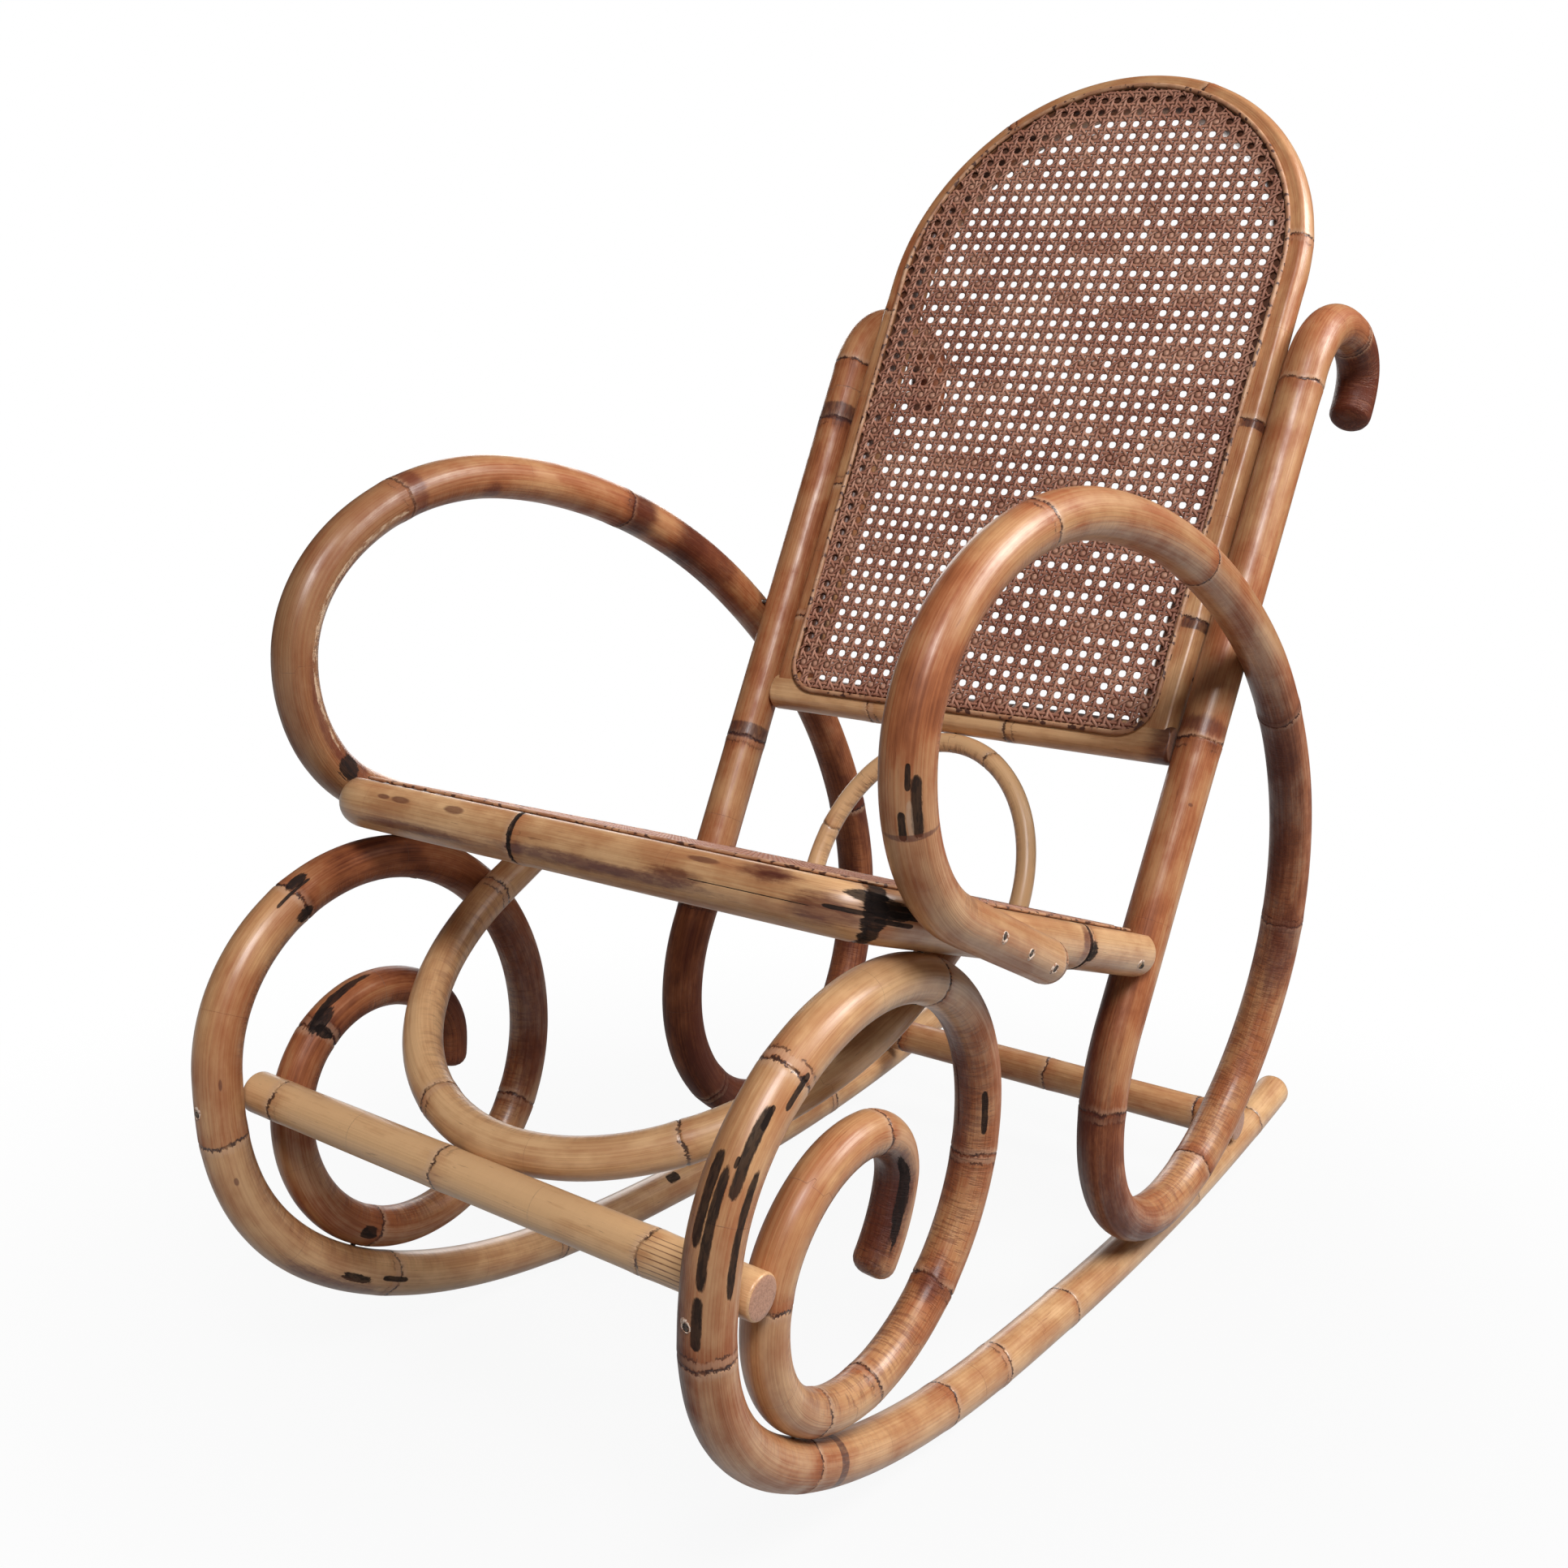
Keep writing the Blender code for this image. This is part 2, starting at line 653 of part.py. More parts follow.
def seat_outline(half_width, front, rear, corner, steps=6):
    """The seat's outline in its own plane, from the rear left corner round the front."""
    points = [(-half_width, rear)]
    for sign in (-1, 1):
        for step in range(steps + 1):
            angle = math.pi / 2 * (step / steps if sign < 0 else 1 - step / steps)
            x = half_width - corner + corner * math.cos(angle)
            points.append((sign * x, front + corner - corner * math.sin(angle)))
    return points + [(half_width, rear)]


def build_seat(chair, posts):
    """Bent seat frame, rear rail, cane panel and reed beads, in a frame that is tilted with the seat."""
    seat = place(bpy.data.objects.new("seat_place", None), chair)
    seat.location = (0, SEAT_FRONT_Y, SEAT_FRONT_Z)
    seat.rotation_euler.x = -SEAT_TILT
    rail_end = SEAT_DEPTH - POST_D / 2
    path = [Vector((x, y, 0)) for x, y in seat_outline(SEAT_HALF_WIDTH, 0.0, rail_end, SEAT_CORNER)]
    frame = tube("seat_frame", path, even(path, SEAT_D), seat, HONEY)
    rear_path = [Vector((x, SEAT_DEPTH, REAR_RISE)) for x in (-REAR_RAIL.x, REAR_RAIL.x)]
    rear = tube("seat_rear_rail", rear_path, even(rear_path, REAR_RAIL_D), seat, RUSSET)

    land = SEAT_D / 2 - LAND_DEPTH
    slab = [(-SEAT_HALF_WIDTH - SEAT_D, -SEAT_D), (SEAT_HALF_WIDTH + SEAT_D, -SEAT_D)]
    slab += [(x, SEAT_DEPTH + SEAT_D) for x, y in slab[::-1]]
    above = hide(plate("seat_land_cut", slab, land, SEAT_D, seat, HONEY))
    bore(frame, above)
    bore(rear, above)

    inset = BEAD_D / 2 + GAP
    arch_foot = (REAR_RAIL_D / 2 + GAP) * math.sin(POST_RECLINE - SEAT_TILT)
    rear_bead_y = SEAT_DEPTH + arch_foot - THIN_ARCH_D / 2 - BEAD_D / 2 - 2 * GAP
    outline = seat_outline(SEAT_HALF_WIDTH - inset, inset, rear_bead_y - inset, SEAT_CORNER - inset)
    panel = plate("seat_cane_panel", outline, land + GAP, PANEL_THICKNESS, seat, WEAVE)
    open_weave(panel, outline, land + GAP, seat)
    for post in posts:
        bore(frame, post)
        bore(rear, post)
        bore(panel, post)
    bead_z = land + GAP + BEAD_D / 2
    bead_end = SEAT_DEPTH - POST_D - BEAD_D
    bead = [Vector((x, y, bead_z)) for x, y in seat_outline(SEAT_HALF_WIDTH, 0.0, bead_end, SEAT_CORNER)]
    tube("seat_bead", bead, even(bead, BEAD_D), seat, REED, BEAD_SIDES)
    rear_half = REAR_RAIL.x - POST_D / 2 - BEAD_D
    rear_bead = [Vector((x, rear_bead_y, bead_z)) for x in (-rear_half, rear_half)]
    tube("seat_rear_bead", rear_bead, even(rear_bead, BEAD_D), seat, REED, BEAD_SIDES)


def stile_x(height):
    """Half width of the back frame's axis at a height along the posts, beside the splayed posts."""
    post = BACK_FOOT.x + height * math.cos(POST_RECLINE) * math.tan(POST_SPLAY)
    return post - (POST_D + BACK_D) / 2 - GAP


def arch_outline(start, inset, steps=20):
    """The back frame's axis in its own plane from the lower left, over the arch, to the lower right."""
    half = stile_x(BACK_STRAIGHT) - inset
    points = [(-stile_x(start) + inset, start)]
    for step in range(steps + 1):
        angle = math.pi * (1 - step / steps)
        points.append((half * math.cos(angle), BACK_STRAIGHT + (BACK_ARCH_RISE - inset) * math.sin(angle)))
    return points + [(stile_x(start) - inset, start)]


def panel_outline(inset, steps=4):
    """The back panel's edge: the arch, closed along the bottom rail with rounded corners."""
    corner = BACK_CORNER - inset
    points = arch_outline(BACK_CORNER, inset)
    for sign in (1, -1):
        turn = []
        for step in range(1, steps + 1):
            angle = math.pi / 2 * step / steps
            x = stile_x(0) - inset - corner + corner * math.cos(angle)
            turn.append((sign * x, BACK_CORNER - corner * math.sin(angle)))
        points += turn if sign > 0 else turn[::-1]
    return points


def build_back(chair, posts):
    """Arched back frame, bottom rail, cane panel and its bead. Here z is the back's front side."""
    back = place(bpy.data.objects.new("back_place", None), chair)
    back.location = (0, BACK_FOOT.y, BACK_FOOT.z)
    back.rotation_euler.x = math.pi / 2 - POST_RECLINE
    path = [Vector((x, y, 0)) for x, y in arch_outline(0.0, 0.0)]
    frame = tube("back_arch_frame", path, even(path, BACK_D), back, HONEY)
    rail_path = [Vector((x, 0, 0)) for x in (-BACK_FOOT.x, BACK_FOOT.x)]
    rail = tube("back_bottom_rail", rail_path, even(rail_path, BACK_D), back, HONEY)
    for post in posts:
        bore(rail, post)
    saddle_path = [p * 2 for p in rail_path]
    saddle = tube("back_saddle_cut", saddle_path, even(saddle_path, BACK_D + 2 * CLEARANCE), back, HONEY)
    bore(frame, hide(saddle))

    land = BACK_D / 2 - LAND_DEPTH
    wide = stile_x(BACK_STRAIGHT) + BACK_D
    tall = BACK_STRAIGHT + BACK_ARCH_RISE + BACK_D
    slab = [(-wide, -BACK_D), (wide, -BACK_D), (wide, tall), (-wide, tall)]
    front = hide(plate("back_land_cut", slab, land, BACK_D, back, HONEY))
    bore(frame, front)
    bore(rail, front)
    outline = panel_outline(BEAD_D / 2 + GAP)
    panel = plate("back_cane_panel", outline, land + GAP, PANEL_THICKNESS, back, WEAVE)
    open_weave(panel, outline, land + GAP, back)
    bead = [Vector((x, y, land + GAP + BEAD_D / 2)) for x, y in panel_outline(0.0)]
    tube("back_bead", bead, even(bead, BEAD_D), back, REED, BEAD_SIDES, ring=True)
    return back


def behind_strand(z):
    """Where the front stretcher's axis crosses behind a scroll's front strand, on the right."""
    def room_behind(y):
        point = Vector((scroll_x(z), y, z))
        return room([point], [FRONT_STRETCHER_D / 2], STRAND, RUNNER_D / 2)

    return Vector((scroll_x(z), settle(room_behind, COIL_FRONT_Y, SCROLL_FRONT_Y), z))


def front_stretcher_path():
    """The front stretcher's two ends. It slopes a little from left to right."""
    left = mirrored([behind_strand(FRONT_STRETCHER_LEFT_Z)], -1)[0]
    right = behind_strand(FRONT_STRETCHER_RIGHT_Z)
    ahead = (right - left) / (right.x - left.x)
    return [left - ahead * FRONT_STRETCHER_LEFT_OVERHANG, right + ahead * FRONT_STRETCHER_RIGHT_OVERHANG]


def rear_stretcher_axis():
    """The rear stretcher's y and z, on top of the runners."""
    def room_over(z):
        point = Vector((scroll_x(RUNNER_D), REAR_STRETCHER_Y, z))
        return room([point], [REAR_STRETCHER_D / 2], RUNNER, RUNNER_D / 2)

    return REAR_STRETCHER_Y, settle(room_over, 8 * RUNNER_D, RUNNER_D)


def hoop_path(stretcher, steps=16):
    """Half an ellipse from rail to rail, down to the back of the front stretcher, in one sloping plane.

    It is as wide as the scrolls on both sides allow."""
    reach = (HOOP_D + FRONT_STRETCHER_D) / 2 + GAP
    middle = stretcher[0].lerp(stretcher[1], -stretcher[0].x / (stretcher[1].x - stretcher[0].x))
    low = (middle.y + reach * math.cos(HOOP_SEAT_ANGLE), middle.z + reach * math.sin(HOOP_SEAT_ANGLE))
    to_rail = (HOOP_D + SEAT_D) / 2 + GAP
    end_x = SEAT_HALF_WIDTH - to_rail * math.cos(HOOP_RAIL_ANGLE)
    end_z = seat_z(HOOP_END_Y) - to_rail * math.sin(HOOP_RAIL_ANGLE) / math.cos(SEAT_TILT)
    slope = (end_z - low[1]) / (HOOP_END_Y - low[0])

    def path_of(half_width):
        flat = [(-end_x, HOOP_END_Y)]
        for step in range(steps + 1):
            angle = math.pi * (1 - step / steps)
            y = HOOP_TURN_Y + (low[0] - HOOP_TURN_Y) * math.sin(angle)
            flat.append((half_width * math.cos(angle), y))
        flat.append((end_x, HOOP_END_Y))
        return [Vector((x, y, low[1] + slope * (y - low[0]))) for x, y in flat]

    def room_inside(half_width):
        path = path_of(half_width)[steps // 2:]
        radii = even(path, HOOP_D + 2 * HOOP_SCROLL_ROOM)
        return min(room(path, radii, SCROLLS[side][0], RUNNER_D / 2) for side, sign in SIDES)

    return path_of(settle(room_inside, SEAT_HALF_WIDTH / 2, SEAT_HALF_WIDTH))


def thin_arch_path(steps=14):
    """The thin arch between the seat's rear rail and the back's bottom rail, in the back's plane."""
    foot = REAR_RAIL_D / 2 + GAP - BACK_OVER_SEAT
    top = -(BACK_D + THIN_ARCH_D) / 2 - GAP
    points = []
    for step in range(steps + 1):
        angle = math.pi * (1 - step / steps)
        rise = foot + (top - foot) * math.sin(angle)
        points.append(Vector((THIN_ARCH_HALF_WIDTH * math.cos(angle), rise, 0)))
    return points


def fasten_sides(fasteners, rail, rear, hoop):
    """Screws and dowels that repeat on the left and the right."""
    up = Vector((0, math.sin(POST_RECLINE), math.cos(POST_RECLINE)))
    for side, sign in SIDES:
        post, scroll = f"post_arm_{side}", f"runner_scroll_{side}"

        def screw(name, outer, outer_reach, inner, inner_radius, pieces, bite=SCREW_BITE):
            ends = mirrored((outer, inner), sign)
            fasteners.screw(f"{name}_{side}", ends[0], outer_reach, ends[1], inner_radius, pieces, bite)

        def dowel(name, middle, ahead, length, diameter, pieces):
            fasteners.dowel(f"{name}_{side}", mirrored((middle,), sign)[0], ahead, length, diameter, pieces)

        along = (TAIL[-1] - TAIL[0]).normalized()
        for k in range(TAIL_SCREWS):
            tail = TAIL[-1] - along * (TAIL_END_MARGIN + k * TAIL_SCREW_PITCH)
            screw(f"arm_tail_screw_{k + 1}", tail, ARM_TIP_D / 2, nearest(tail, rail), SEAT_D / 2,
                  (post, "seat_frame"), TAIL_SCREW_BITE)
        cross = (POST[ARM_CROSS] + POST[ARM_CROSS - 1]) / 2
        screw("arm_post_screw", cross, POST_RADII[ARM_CROSS], post_axis(cross.z), POST_D / 2, (post,))
        loop = POST[ARM_START - 1]
        screw("loop_runner_screw", loop, POST_D / 2, nearest(loop, RUNNER), RUNNER_D / 2, (post, scroll))

        path = SCROLLS[side][0]
        crown = min(path[SCROLL_START:], key=lambda p: (nearest(p, rail) - p).length)
        screw("scroll_seat_screw", crown, RUNNER_D / 2, nearest(crown, rail), SEAT_D / 2,
              (scroll, "seat_frame"))
        coil_from = SCROLL_START + 3 * TURN_STEPS - 1
        coil_points = path[coil_from:coil_from + TURN_STEPS]
        coil = min(coil_points, key=lambda p: (nearest(p, RUNNER) - p).length)
        screw("coil_screw", coil, COIL_TIP_D / 2, nearest(coil, RUNNER), RUNNER_D / 2, (scroll,))

        behind = behind_strand(FRONT_STRETCHER_LEFT_Z if sign < 0 else FRONT_STRETCHER_RIGHT_Z)
        screw("front_stretcher_screw", nearest(behind, STRAND), RUNNER_D / 2, behind, FRONT_STRETCHER_D / 2,
              (scroll, "front_stretcher"))
        runner = nearest(Vector((scroll_x(RUNNER_D), *rear)), RUNNER)
        screw("rear_stretcher_screw", Vector((runner.x, *rear)), REAR_STRETCHER_D / 2, runner, RUNNER_D / 2,
              ("rear_stretcher", scroll))
        end = hoop[-1].lerp(hoop[-2], 0.35)
        screw("hoop_rail_screw", end, HOOP_D / 2, nearest(end, rail), SEAT_D / 2,
              ("leg_hoop", "seat_frame"))
        rail_end = Vector((SEAT_HALF_WIDTH, REAR_RAIL.y - SEAT_POST_SCREW_AHEAD, 0))
        rail_end.z = seat_z(rail_end.y)
        inboard = rail_end.x - REAR_RAIL.x
        post_front = rail_end + Vector((-inboard, inboard / math.tan(SEAT_POST_SCREW_TURN), 0))
        reach = SEAT_D / 2 / math.sin(SEAT_POST_SCREW_TURN) - HEAD_D / 2
        screw("seat_post_screw", rail_end, reach, post_front, POST_D / 2, ("seat_frame", post))
        for k, height in enumerate(BACK_SCREW_HEIGHTS):
            level = post_axis(BACK_FOOT.z + height * math.cos(POST_RECLINE))
            stile = Vector((stile_x(height), level.y, level.z))
            screw(f"back_post_screw_{k + 1}", level, POST_D / 2, stile, BACK_D / 2, (post, "back_arch_frame"))

        joint = REAR_RAIL - Vector((POST_D / 2, 0, 0))
        dowel("seat_rear_rail_dowel", joint, Vector((1, 0, 0)), DOWEL_LENGTH, DOWEL_D,
              (post, "seat_rear_rail"))
        corner = Vector((stile_x(BACK_D / 2), BACK_FOOT.y, BACK_FOOT.z)) + up * BACK_D / 2
        dowel("back_corner_dowel", corner, up, PEG_LENGTH, DOWEL_D, ("back_arch_frame", "back_bottom_rail"))
        foot = Vector((THIN_ARCH_HALF_WIDTH, REAR_RAIL.y, REAR_RAIL.z)) + up * REAR_RAIL_D / 2
        dowel("thin_arch_dowel", foot, up, PEG_LENGTH, THIN_PEG_D, ("thin_arch", "seat_rear_rail"))


def fasten_middle(fasteners, stretcher, hoop):
    """The screws on the centre line."""
    low = hoop[len(hoop) // 2]
    fasteners.screw("hoop_stretcher_screw", low, HOOP_D / 2, nearest(low, stretcher),
                    FRONT_STRETCHER_D / 2, ("leg_hoop", "front_stretcher"))
    up = Vector((0, math.sin(POST_RECLINE), math.cos(POST_RECLINE)))
    rail = Vector((0, BACK_FOOT.y, BACK_FOOT.z))
    arch_top = rail - up * ((BACK_D + THIN_ARCH_D) / 2 + GAP)
    fasteners.screw("thin_arch_screw", arch_top, THIN_ARCH_D / 2, rail, BACK_D / 2,
                    ("thin_arch", "back_bottom_rail"))


def centre_on_floor(chair):
    """Moves the whole chair so that its box is centred over the origin, and prints the box."""
    bpy.context.view_layer.update()
    depsgraph = bpy.context.evaluated_depsgraph_get()
    corners = []
    for obj in bpy.data.objects:
        if obj.type == "MESH" and not obj.hide_render:
            solid = obj.evaluated_get(depsgraph)
            corners += [solid.matrix_world @ v.co for v in solid.data.vertices]
    low = Vector([min(c[i] for c in corners) for i in range(3)])
    high = Vector([max(c[i] for c in corners) for i in range(3)])
    chair.location = (-(low.x + high.x) / 2, -(low.y + high.y) / 2, -low.z)
    print("size", [round(v, 4) for v in high - low], "moved", [round(v, 5) for v in chair.location])


def main():
    clear_scene()
    chair = place(bpy.data.objects.new("chair", None), None)
    build_side_canes(chair)
    posts = post_cutter(chair)
    build_seat(chair, posts)
    back = build_back(chair, posts)
    front = front_stretcher_path()
    tube("front_stretcher", front, even(front, FRONT_STRETCHER_D), chair, PALE)
    rear = rear_stretcher_axis()
    rear_half = scroll_x(RUNNER_D) + REAR_STRETCHER_OVERHANG
    rear_path = [Vector((x, *rear)) for x in (-rear_half, rear_half)]
    tube("rear_stretcher", rear_path, even(rear_path, REAR_STRETCHER_D), chair, PALE)
    hoop = hoop_path(front)
    tube("leg_hoop", hoop, even(hoop, HOOP_D), chair, HONEY)
    thin = thin_arch_path()
    tube("thin_arch", thin, even(thin, THIN_ARCH_D), back, HONEY)

    rail = [Vector((SEAT_HALF_WIDTH, y, seat_z(y))) for y in (SEAT_FRONT_Y, REAR_RAIL.y)]
    fasteners = Fasteners(chair)
    fasten_sides(fasteners, rail, rear, hoop)
    fasten_middle(fasteners, front, hoop)
    fasteners.drill()
    centre_on_floor(chair)


main()
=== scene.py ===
# %% [markdown]
# # A rattan rocking chair
# The chair is bent from long rattan canes. Two canes make the runners and the scrolls in front, two make
# the posts, the loops behind and the arms, and shorter ones make the seat, the back and the stretchers.
# Woven cane fills the seat and the back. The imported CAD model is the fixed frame, and every piece here goes
# round it.

import math
import random

import bmesh
import bpy
import numpy as np
from mathutils import Matrix, Vector
from mathutils.bvhtree import BVHTree


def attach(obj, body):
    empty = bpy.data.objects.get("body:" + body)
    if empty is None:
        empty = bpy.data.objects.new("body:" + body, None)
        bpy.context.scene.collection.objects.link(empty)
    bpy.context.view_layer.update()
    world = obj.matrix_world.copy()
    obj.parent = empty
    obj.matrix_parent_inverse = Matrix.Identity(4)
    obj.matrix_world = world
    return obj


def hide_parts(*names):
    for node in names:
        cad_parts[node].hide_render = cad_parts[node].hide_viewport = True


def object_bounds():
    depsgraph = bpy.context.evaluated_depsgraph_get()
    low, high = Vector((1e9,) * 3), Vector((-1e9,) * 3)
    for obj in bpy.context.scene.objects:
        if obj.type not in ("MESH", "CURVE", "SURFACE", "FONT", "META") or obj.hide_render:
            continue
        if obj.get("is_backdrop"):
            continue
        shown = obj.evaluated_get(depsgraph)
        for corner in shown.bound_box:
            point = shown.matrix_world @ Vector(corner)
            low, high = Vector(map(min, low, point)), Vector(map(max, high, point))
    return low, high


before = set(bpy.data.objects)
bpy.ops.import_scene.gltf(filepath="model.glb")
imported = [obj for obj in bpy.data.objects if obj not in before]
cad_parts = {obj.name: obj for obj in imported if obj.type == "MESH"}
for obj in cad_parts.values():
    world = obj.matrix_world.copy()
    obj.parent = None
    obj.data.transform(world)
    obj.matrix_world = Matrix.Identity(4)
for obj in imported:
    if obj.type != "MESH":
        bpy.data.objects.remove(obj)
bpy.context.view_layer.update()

# %% [markdown]
# ## Camera
# The photograph was taken from the chair's right front, a little above the arms, with the camera rolled by
# about three degrees. Its place was found by matching the canes' centre lines on both sides of the chair. A
# lens length alone could give the framing, but only the place gives the right perspective, so both are set.

# %% Set the camera
MODEL_Y = -0.00389
CAMERA_PLACE = Vector((0.7221, -1.2036 + MODEL_Y, 0.692))
CAMERA_RIGHT = Vector((0.82041, 0.56953, 0.05054))
CAMERA_DOWN = Vector((0.14568, -0.12273, -0.98169))
CAMERA_AHEAD = Vector((-0.5529, 0.81276, -0.18366))
PHOTO_WIDTH = 1932
FOCAL_PIXELS = 2080.8
SENSOR_WIDTH = 36.0

camera_data = bpy.data.cameras.new("camera")
camera_data.sensor_width = SENSOR_WIDTH
camera_data.lens = SENSOR_WIDTH * FOCAL_PIXELS / PHOTO_WIDTH
camera = bpy.data.objects.new("camera", camera_data)
bpy.context.scene.collection.objects.link(camera)
turn = Matrix((CAMERA_RIGHT, -CAMERA_DOWN, -CAMERA_AHEAD)).transposed()
camera.matrix_world = Matrix.Translation(CAMERA_PLACE) @ turn.to_4x4()
bpy.context.scene.camera = camera
bpy.context.scene.view_settings.view_transform = "Standard"
print("lens", round(camera_data.lens, 2), "mm")

# %% [markdown]
# ## Nodes in few words
# A material is a tree of nodes, and most of the work is to join sockets. A few helpers keep that short. The
# first adds a node and fills its inputs with numbers or with other nodes' sockets, and the others build on
# it.


# %% Node helpers
def add(tree, kind, inputs=None, **settings):
    """A new node with its settings made first and its inputs filled after that."""
    made = tree.nodes.new(kind)
    for name, value in settings.items():
        setattr(made, name, value)
    for key, value in (inputs or {}).items():
        if isinstance(value, bpy.types.NodeSocket):
            tree.links.new(value, made.inputs[key])
        else:
            made.inputs[key].default_value = value
    return made


def calc(tree, operation, *values):
    """One sum, such as ADD or MULTIPLY, of numbers or sockets."""
    return add(tree, "ShaderNodeMath", dict(enumerate(values)), operation=operation).outputs[0]


def soft_step(tree, value, low, high):
    """0 below low and 1 above high, with a soft change between. With low above high it falls instead."""
    span = {"Value": value, "From Min": low, "From Max": high}
    return add(tree, "ShaderNodeMapRange", span, interpolation_type="SMOOTHSTEP").outputs[0]


def tint(tree, share, under, over):
    """A share of one colour laid over another. The mix node's inputs 6 and 7 and its output 2 are colours."""
    return add(tree, "ShaderNodeMix", {0: share, 6: under, 7: over}, data_type="RGBA").outputs[2]


def new_group(name, inputs, outputs):
    """An empty node group with its sockets, and the nodes that stand for its two ends."""
    tree = bpy.data.node_groups.new(name, "ShaderNodeTree")
    for socket, kind in inputs:
        tree.interface.new_socket(socket, in_out="INPUT", socket_type=kind)
    for socket in outputs:
        tree.interface.new_socket(socket, in_out="OUTPUT", socket_type="NodeSocketFloat")
    return tree, tree.nodes.new("NodeGroupInput").outputs, tree.nodes.new("NodeGroupOutput").inputs


def use(tree, group, inputs):
    """The outputs of a node group that is put to use in a tree."""
    return add(tree, "ShaderNodeGroup", inputs, node_tree=group).outputs


def new_material(name):
    made = bpy.data.materials.new(name)
    made.use_nodes = True
    return made, made.node_tree, made.node_tree.nodes["Principled BSDF"]


def dress(tree, shader, colour, rough, height=None, strength=0.5, depth=0.0005):
    """Joins a colour, a roughness and, where there is one, the height of a bump to a shader."""
    tree.links.new(colour, shader.inputs["Base Color"])
    tree.links.new(rough, shader.inputs["Roughness"])
    if height is not None:
        bump = add(tree, "ShaderNodeBump", {"Strength": strength, "Distance": depth, "Height": height})
        tree.links.new(bump.outputs[0], shader.inputs["Normal"])


print("node helpers ready")

# %% [markdown]
# ## Floor and light
# The photograph shows the chair cut out on white. A floor that is only bright would need too much light, so
# the floor's own material is mostly white to the camera, while other rays see a plain pale floor that sends
# soft light up. The small rest keeps a faint shadow. In the photograph every upright cane is bright on its
# right and dark on its left, and every level one bright on top, so one wide lamp stands to the right above
# the chair and another far in front. A weak low one behind keeps the chair's rear side from going black.

# %% Floor
FLOOR_REACH = 6.0
FLOOR_GREY, FLOOR_ROUGH = (0.30, 0.30, 0.30, 1.0), 0.9
WHITE = (1.0, 1.0, 1.0, 1.0)
MIRRORED_WHITE = 0.3
SHADOW_FROM, SHADOW_TO, SHADOW_SHARE = 0.3, 1.1, 0.07

floor_material, tree, shader = new_material("pale_floor")
shader.inputs["Base Color"].default_value = FLOOR_GREY
shader.inputs["Roughness"].default_value = FLOOR_ROUGH
rays = add(tree, "ShaderNodeLightPath").outputs
mirrored = calc(tree, "MULTIPLY", rays["Is Glossy Ray"], MIRRORED_WHITE)
seen = calc(tree, "MAXIMUM", rays["Is Camera Ray"], mirrored)
seen = calc(tree, "MAXIMUM", seen, rays["Is Transmission Ray"])
place = add(tree, "ShaderNodeTexCoord").outputs["Object"]
far = add(tree, "ShaderNodeVectorMath", {0: place}, operation="LENGTH").outputs["Value"]
clear = soft_step(tree, far, SHADOW_FROM, SHADOW_TO)
white_share = calc(tree, "MULTIPLY_ADD", clear, SHADOW_SHARE, 1.0 - SHADOW_SHARE)
glow = add(tree, "ShaderNodeEmission", {"Color": WHITE, "Strength": 1.0}).outputs[0]
share = calc(tree, "MULTIPLY", seen, white_share)
floor_mix = add(tree, "ShaderNodeMixShader", {0: share, 1: shader.outputs[0], 2: glow})
tree.links.new(floor_mix.outputs[0], tree.nodes["Material Output"].inputs["Surface"])

work = bmesh.new()
bmesh.ops.create_grid(work, x_segments=2, y_segments=2, size=FLOOR_REACH)
floor_mesh = bpy.data.meshes.new("floor")
work.to_mesh(floor_mesh)
work.free()
floor_mesh.materials.append(floor_material)
floor = bpy.data.objects.new("floor", floor_mesh)
bpy.context.scene.collection.objects.link(floor)
floor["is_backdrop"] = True
print("floor", 2 * FLOOR_REACH, "m wide")

# %% Light
AMBIENT = 0.07

world = bpy.data.worlds.new("studio")
world.use_nodes = True
bpy.context.scene.world = world
tree = world.node_tree
background = tree.nodes["Background"]
rays = add(tree, "ShaderNodeLightPath").outputs
background.inputs["Color"].default_value = WHITE
lit = calc(tree, "MULTIPLY_ADD", rays["Is Camera Ray"], 1.0 - AMBIENT, AMBIENT)
tree.links.new(lit, background.inputs["Strength"])


def lamp(name, place, aim, size, power, colour):
    """A square lamp of a size in metres and a power in watts, turned towards a point."""
    data = bpy.data.lights.new(name, "AREA")
    data.size = size
    data.energy = power
    data.color = colour
    obj = bpy.data.objects.new(name, data)
    bpy.context.scene.collection.objects.link(obj)
    obj.location = place
    obj.rotation_euler = (Vector(aim) - Vector(place)).to_track_quat("-Z", "Y").to_euler()


lamp("window", (2.0, 1.1, 2.5), (0.1, 0, 0.5), 1.4, 92, (1.0, 0.98, 0.96))
lamp("front", (1.9, -2.3, 3.5), (0, 0, 0.45), 1.2, 138, (1.0, 0.97, 0.99))
lamp("rear", (-2.0, 2.2, 1.1), (0, 0.1, 0.5), 1.4, 22, (1.0, 0.99, 0.98))

# %% [markdown]
# ## What a cane's surface shows
# Rattan has a hard varnished skin with fine fibres along it, a dark ragged ring at each joint of the plant,
# and creases across the inside of each bend. Burnt patches and open splits come from bending over a flame.
# All of these follow the cane and not the room, so each cane carries its own straightened place as an
# attribute: x and y round the cane and z along it, in metres. Every group below reads that place.

# %% Group for fibres
# Each layer: scale across the cane, scale along it, detail, and where its soft step begins and ends
FIBRES = {
    "Streak": (330, 9, 4, 0.3, 0.7),
    "Hair": (720, 7, 2, 0.36, 0.64),
    "Pore": (520, 55, 2, 0.66, 0.76),
    "Cloud": (40, 19, 4, 0.3, 0.7),
}
CANE_FIBRE, given, out = new_group("cane_fibre", [("Straight", "NodeSocketVector")], list(FIBRES))


